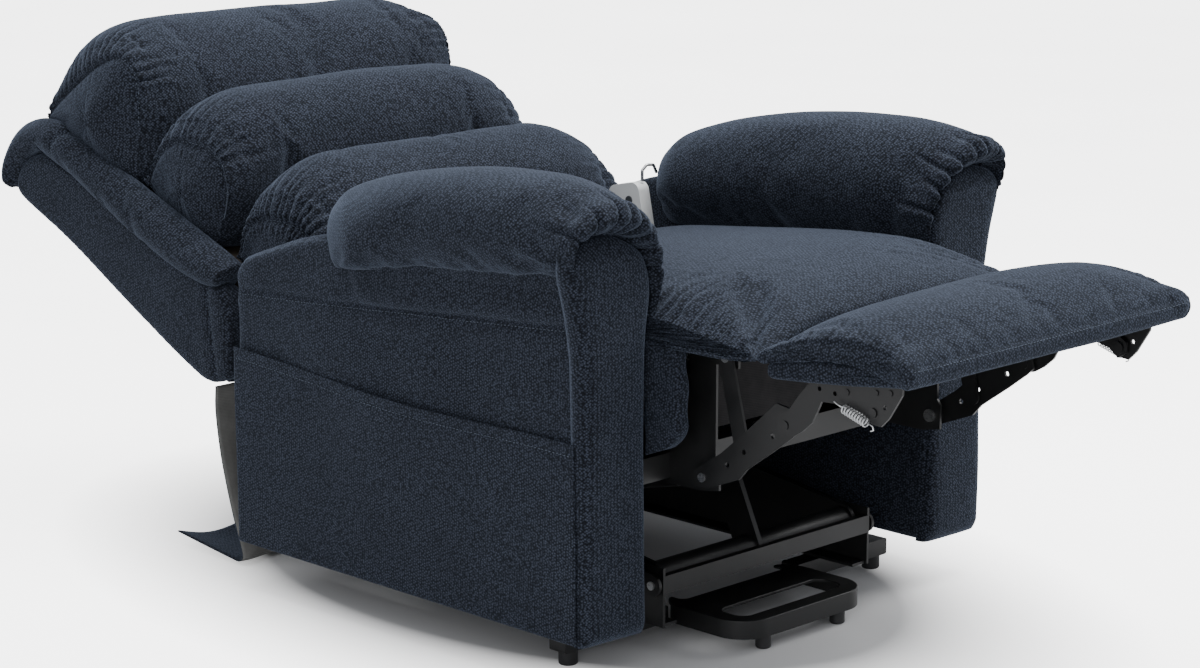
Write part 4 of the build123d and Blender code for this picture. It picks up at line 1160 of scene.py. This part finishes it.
# ---------------------------------------------------------------- footrest
def make_footrest():
    """Footrest cushion: crowned top, boxed ends and front band with topstitched seams."""
    top = [(-0.176, 0.462), (-0.186, 0.474), (-0.215, 0.494), (-0.255, 0.516), (-0.30, 0.530), (-0.35, 0.533),
           (-0.39, 0.522), (-0.418, 0.499), (-0.4275, 0.486), (-0.4285, 0.472), (-0.4265, 0.4615),
           (-0.4215, 0.461)]
    bottom = [(-0.4185, 0.470), (-0.410, 0.4775), (-0.344, 0.4765), (-0.28, 0.4725), (-0.232, 0.4655),
              (-0.192, 0.4565), (-0.180, 0.457)]
    end_seam = [(-0.40, 0.496), (-0.343, 0.501), (-0.296, 0.498), (-0.248, 0.490), (-0.215, 0.480)]
    base = smooth_line(top + bottom, 140, closed=True)
    y0, z0 = base.T
    seam_z = curve_value([(-0.43, 0.489), *end_seam, (-0.17, 0.466)], y0)
    half, middle = 0.279, -0.305    # half the width, and where the ends pinch towards
    rings = []
    for u in np.linspace(-1, 1, 91):
        x = spread(u, 0.93) * half
        t = abs(x) / half
        z = np.where(z0 > seam_z, seam_z + (z0 - seam_z) * (1 - t ** 5) ** 0.6, z0)
        y = middle + (y0 - middle) * (1 - 0.03 * t ** 10)
        rings.append(np.stack([np.full(len(y), x), y, z], axis=1))
    obj = loft("footrest_pad_soft", rings)
    co = coords(obj)
    low = co[:, 2] < 0.480 - 0.08 * np.maximum(co[:, 1] + 0.30, 0)
    pins = np.where(low | (np.abs(co[:, 0]) > half - 0.004), 1.0, 0.0)
    inflate(obj, pins, cap=0.007, slack=0.006)
    subdivide(obj, 1)
    front = [(x, -0.4275, 0.4885) for x in np.linspace(-half, half, 20)]
    groove(obj, front, 0.0028, 0.0035, 0.0015)
    for _, s in SIDES:
        edge = [(s * half, y, z) for y, z in [(-0.425, 0.489), *end_seam, (-0.185, 0.470)]]
        groove(obj, edge, 0.0028, 0.0035, 0.0015)
        gather(obj, edge, 0.026, 0.0022, 0.05, 111 + (s > 0), wander=0.5)
        corner = [(s * (half - 0.002), -0.426, 0.487), (s * (half - 0.004), -0.427, 0.470)]
        groove(obj, corner, 0.0018, 0.005)
    co = coords(obj)
    for _, s in SIDES:                          # the front corners stick out a little
        d = np.linalg.norm(co - np.array([s * half, -0.4275, 0.488]), axis=1)
        pull = np.exp(-(d / 0.026) ** 2)
        co[:, 0] += s * 0.014 * pull
        co[:, 1] -= 0.003 * pull
    put_coords(obj, co)
    rumple(obj, (0.0016, 11, 115), (0.0004, 30, 116))
    upholstery(obj, "footrest", ["footrest_pad"])
    stitches("footrest_pad_stitches", obj, [[(x, y - 0.001, z - 0.006) for x, y, z in front]], step=0.0062)


def make_board():
    """Cloth-covered board under the footrest cushion."""
    outline = smooth_polygon([(-0.192, 0.4380), (-0.200, 0.4355), (-0.3285, 0.4465), (-0.4165, 0.4585),
                              (-0.4165, 0.4755), (-0.344, 0.4755), (-0.28, 0.4715), (-0.232, 0.4645),
                              (-0.192, 0.4550)],
                             [0.004, 0.006, 0.02, 0.004, 0.004, 0.02, 0.02, 0.02, 0.006], 110)
    obj = loft("footrest_board_soft", plate_rings(outline, -0.274, 0.274, 0.0055, 1))
    subdivide(obj, 1)
    rumple(obj, (0.0010, 30, 117))
    piece(obj, "footrest", "fabric", ["footrest_board"])


# ---------------------------------------------------------------- springs and lead
def round_curve(name, kind, points, radius, roundness):
    """Curve with a round section through points in the row frame."""
    curve = bpy.data.curves.new(name, "CURVE")
    curve.dimensions = "3D"
    curve.bevel_depth = radius
    curve.bevel_resolution = roundness
    line = curve.splines.new(kind)
    line.points.add(len(points) - 1)
    for point, place in zip(line.points, points):
        point.co = (*place, 1)
    obj = bpy.data.objects.new(name, curve)
    bpy.context.scene.collection.objects.link(obj)
    return obj, line


def make_springs():
    """Footrest springs as real coils with hooked ends."""
    for side_name, s in SIDES:
        a = Vector((s * 0.2600, -0.306 - SETBACK, 0.4152))
        b = Vector((s * 0.2600, -0.343 - SETBACK, 0.4035))
        way = (b - a).normalized()
        u = Vector((1, 0, 0))
        v = way.cross(u)
        turns, radius, wire = 9, 0.0058, 0.0019
        points = [a - way * 0.016 + v * 0.001, a - way * 0.012, a - way * 0.004]
        steps = turns * 12
        for i in range(steps + 1):
            angle = i / 12 * 2 * math.pi
            out = u * math.cos(angle) + v * math.sin(angle)
            points.append(a + way * ((b - a).length * i / steps) + out * radius)
        points += [b + way * 0.004, b + way * 0.010, b + way * 0.0125 - v * 0.004,
                   b + way * 0.009 - v * 0.007]
        curve, _ = round_curve("coil", "POLY", points, wire / 2, 2)
        mesh = evaluated_mesh(curve)
        bpy.data.objects.remove(curve)
        coil = bpy.data.objects.new("footrest_spring_coil_" + side_name, mesh)
        bpy.context.scene.collection.objects.link(coil)
        smooth_shade(mesh)
        piece(coil, "footrest", "zinc", ["footrest_springs"])


def make_motor_lead():
    """Lead from the control box to the front tube, hanging in one smooth line along the CAD's route."""
    diameter = 0.0064
    route = [(0.114, 0.440, 0.310), (0.114, 0.418, 0.309), (0.112, 0.396, 0.288), (0.108, 0.376, 0.254),
             (0.100, 0.348, 0.234), (0.091, 0.310, 0.238), (0.083, 0.268, 0.262), (0.076, 0.222, 0.280),
             (0.070, 0.174, 0.287), (0.066, 0.128, 0.283), (0.064, 0.090, 0.278), (0.063, 0.051, 0.276)]
    route = [(x, y - SETBACK, z) for x, y, z in route]
    lead, line = round_curve("motor_lead_cord", "NURBS", route, diameter / 2, 6)
    line.order_u = 3
    line.use_endpoint_u = True
    line.resolution_u = 12
    piece(lead, "chassis", "rubber", ["motor_lead"])


# ---------------------------------------------------------------- build
make_pillows()
make_seat()
make_gap_cloth()
for side_name, s in SIDES:
    make_pad(side_name, s)
    make_arm_cover(side_name, s)
    make_scroll(side_name, s)
    make_wing(side_name, s)
    make_bolster(side_name, s)
make_pocket()
make_corner_flaps()
make_motor_lead()
make_top_roll()
make_rear_panel()
make_flap()
make_footrest()
make_board()
make_springs()

# Every other CAD node keeps its own mesh and takes the look of its slot.
slot_of = {p["node"]: p["material_slot"] for p in frame["record"]["subparts"]}
for name, obj in frame["nodes"].items():
    paint(obj, SLOT_LOOKS[slot_of[name]])

# ---------------------------------------------------------------- studio
far = 9.0
floor = to_mesh("studio_floor", [(-far, -far, 0), (far, -far, 0), (far, far, 0), (-far, far, 0)],
                [(0, 1, 2, 3)])
paint(floor, "floor")

world = bpy.data.worlds.new("studio")
world.use_nodes = True
feed(world.node_tree, world.node_tree.nodes["Background"], {"Color": (0.93, 0.95, 1.0, 1), "Strength": 0.64})
bpy.context.scene.world = world


def area_light(name, place, aim, size, power):
    """Square softbox at a place, turned towards aim."""
    data = bpy.data.lights.new(name, "AREA")
    data.size = size
    data.energy = power
    obj = bpy.data.objects.new(name, data)
    bpy.context.scene.collection.objects.link(obj)
    obj.location = place
    obj.rotation_euler = (Vector(aim) - Vector(place)).to_track_quat("-Z", "Y").to_euler()


area_light("top_softbox", (0.3, -0.3, 3.4), (0.1, 0, 0.4), 2.4, 142)
area_light("left_softbox", (-3.4, -2.5, 1.6), (0.3, 0, 0.5), 1.6, 30)
area_light("right_softbox", (2.6, -1.2, 2.5), (0.2, -0.1, 0.45), 1.6, 46)
area_light("rear_softbox", (-2.2, 2.0, 2.8), (0, 0.5, 0.5), 1.4, 8)

data = bpy.data.cameras.new("camera")
data.sensor_width = 36
data.lens = 95.2038
camera = bpy.data.objects.new("camera", data)
bpy.context.scene.collection.objects.link(camera)
camera.location = (-3.11399, -3.16787, 1.34887)
camera.rotation_euler = (math.radians(77.31), 0, math.radians(-45.069))
bpy.context.scene.camera = camera
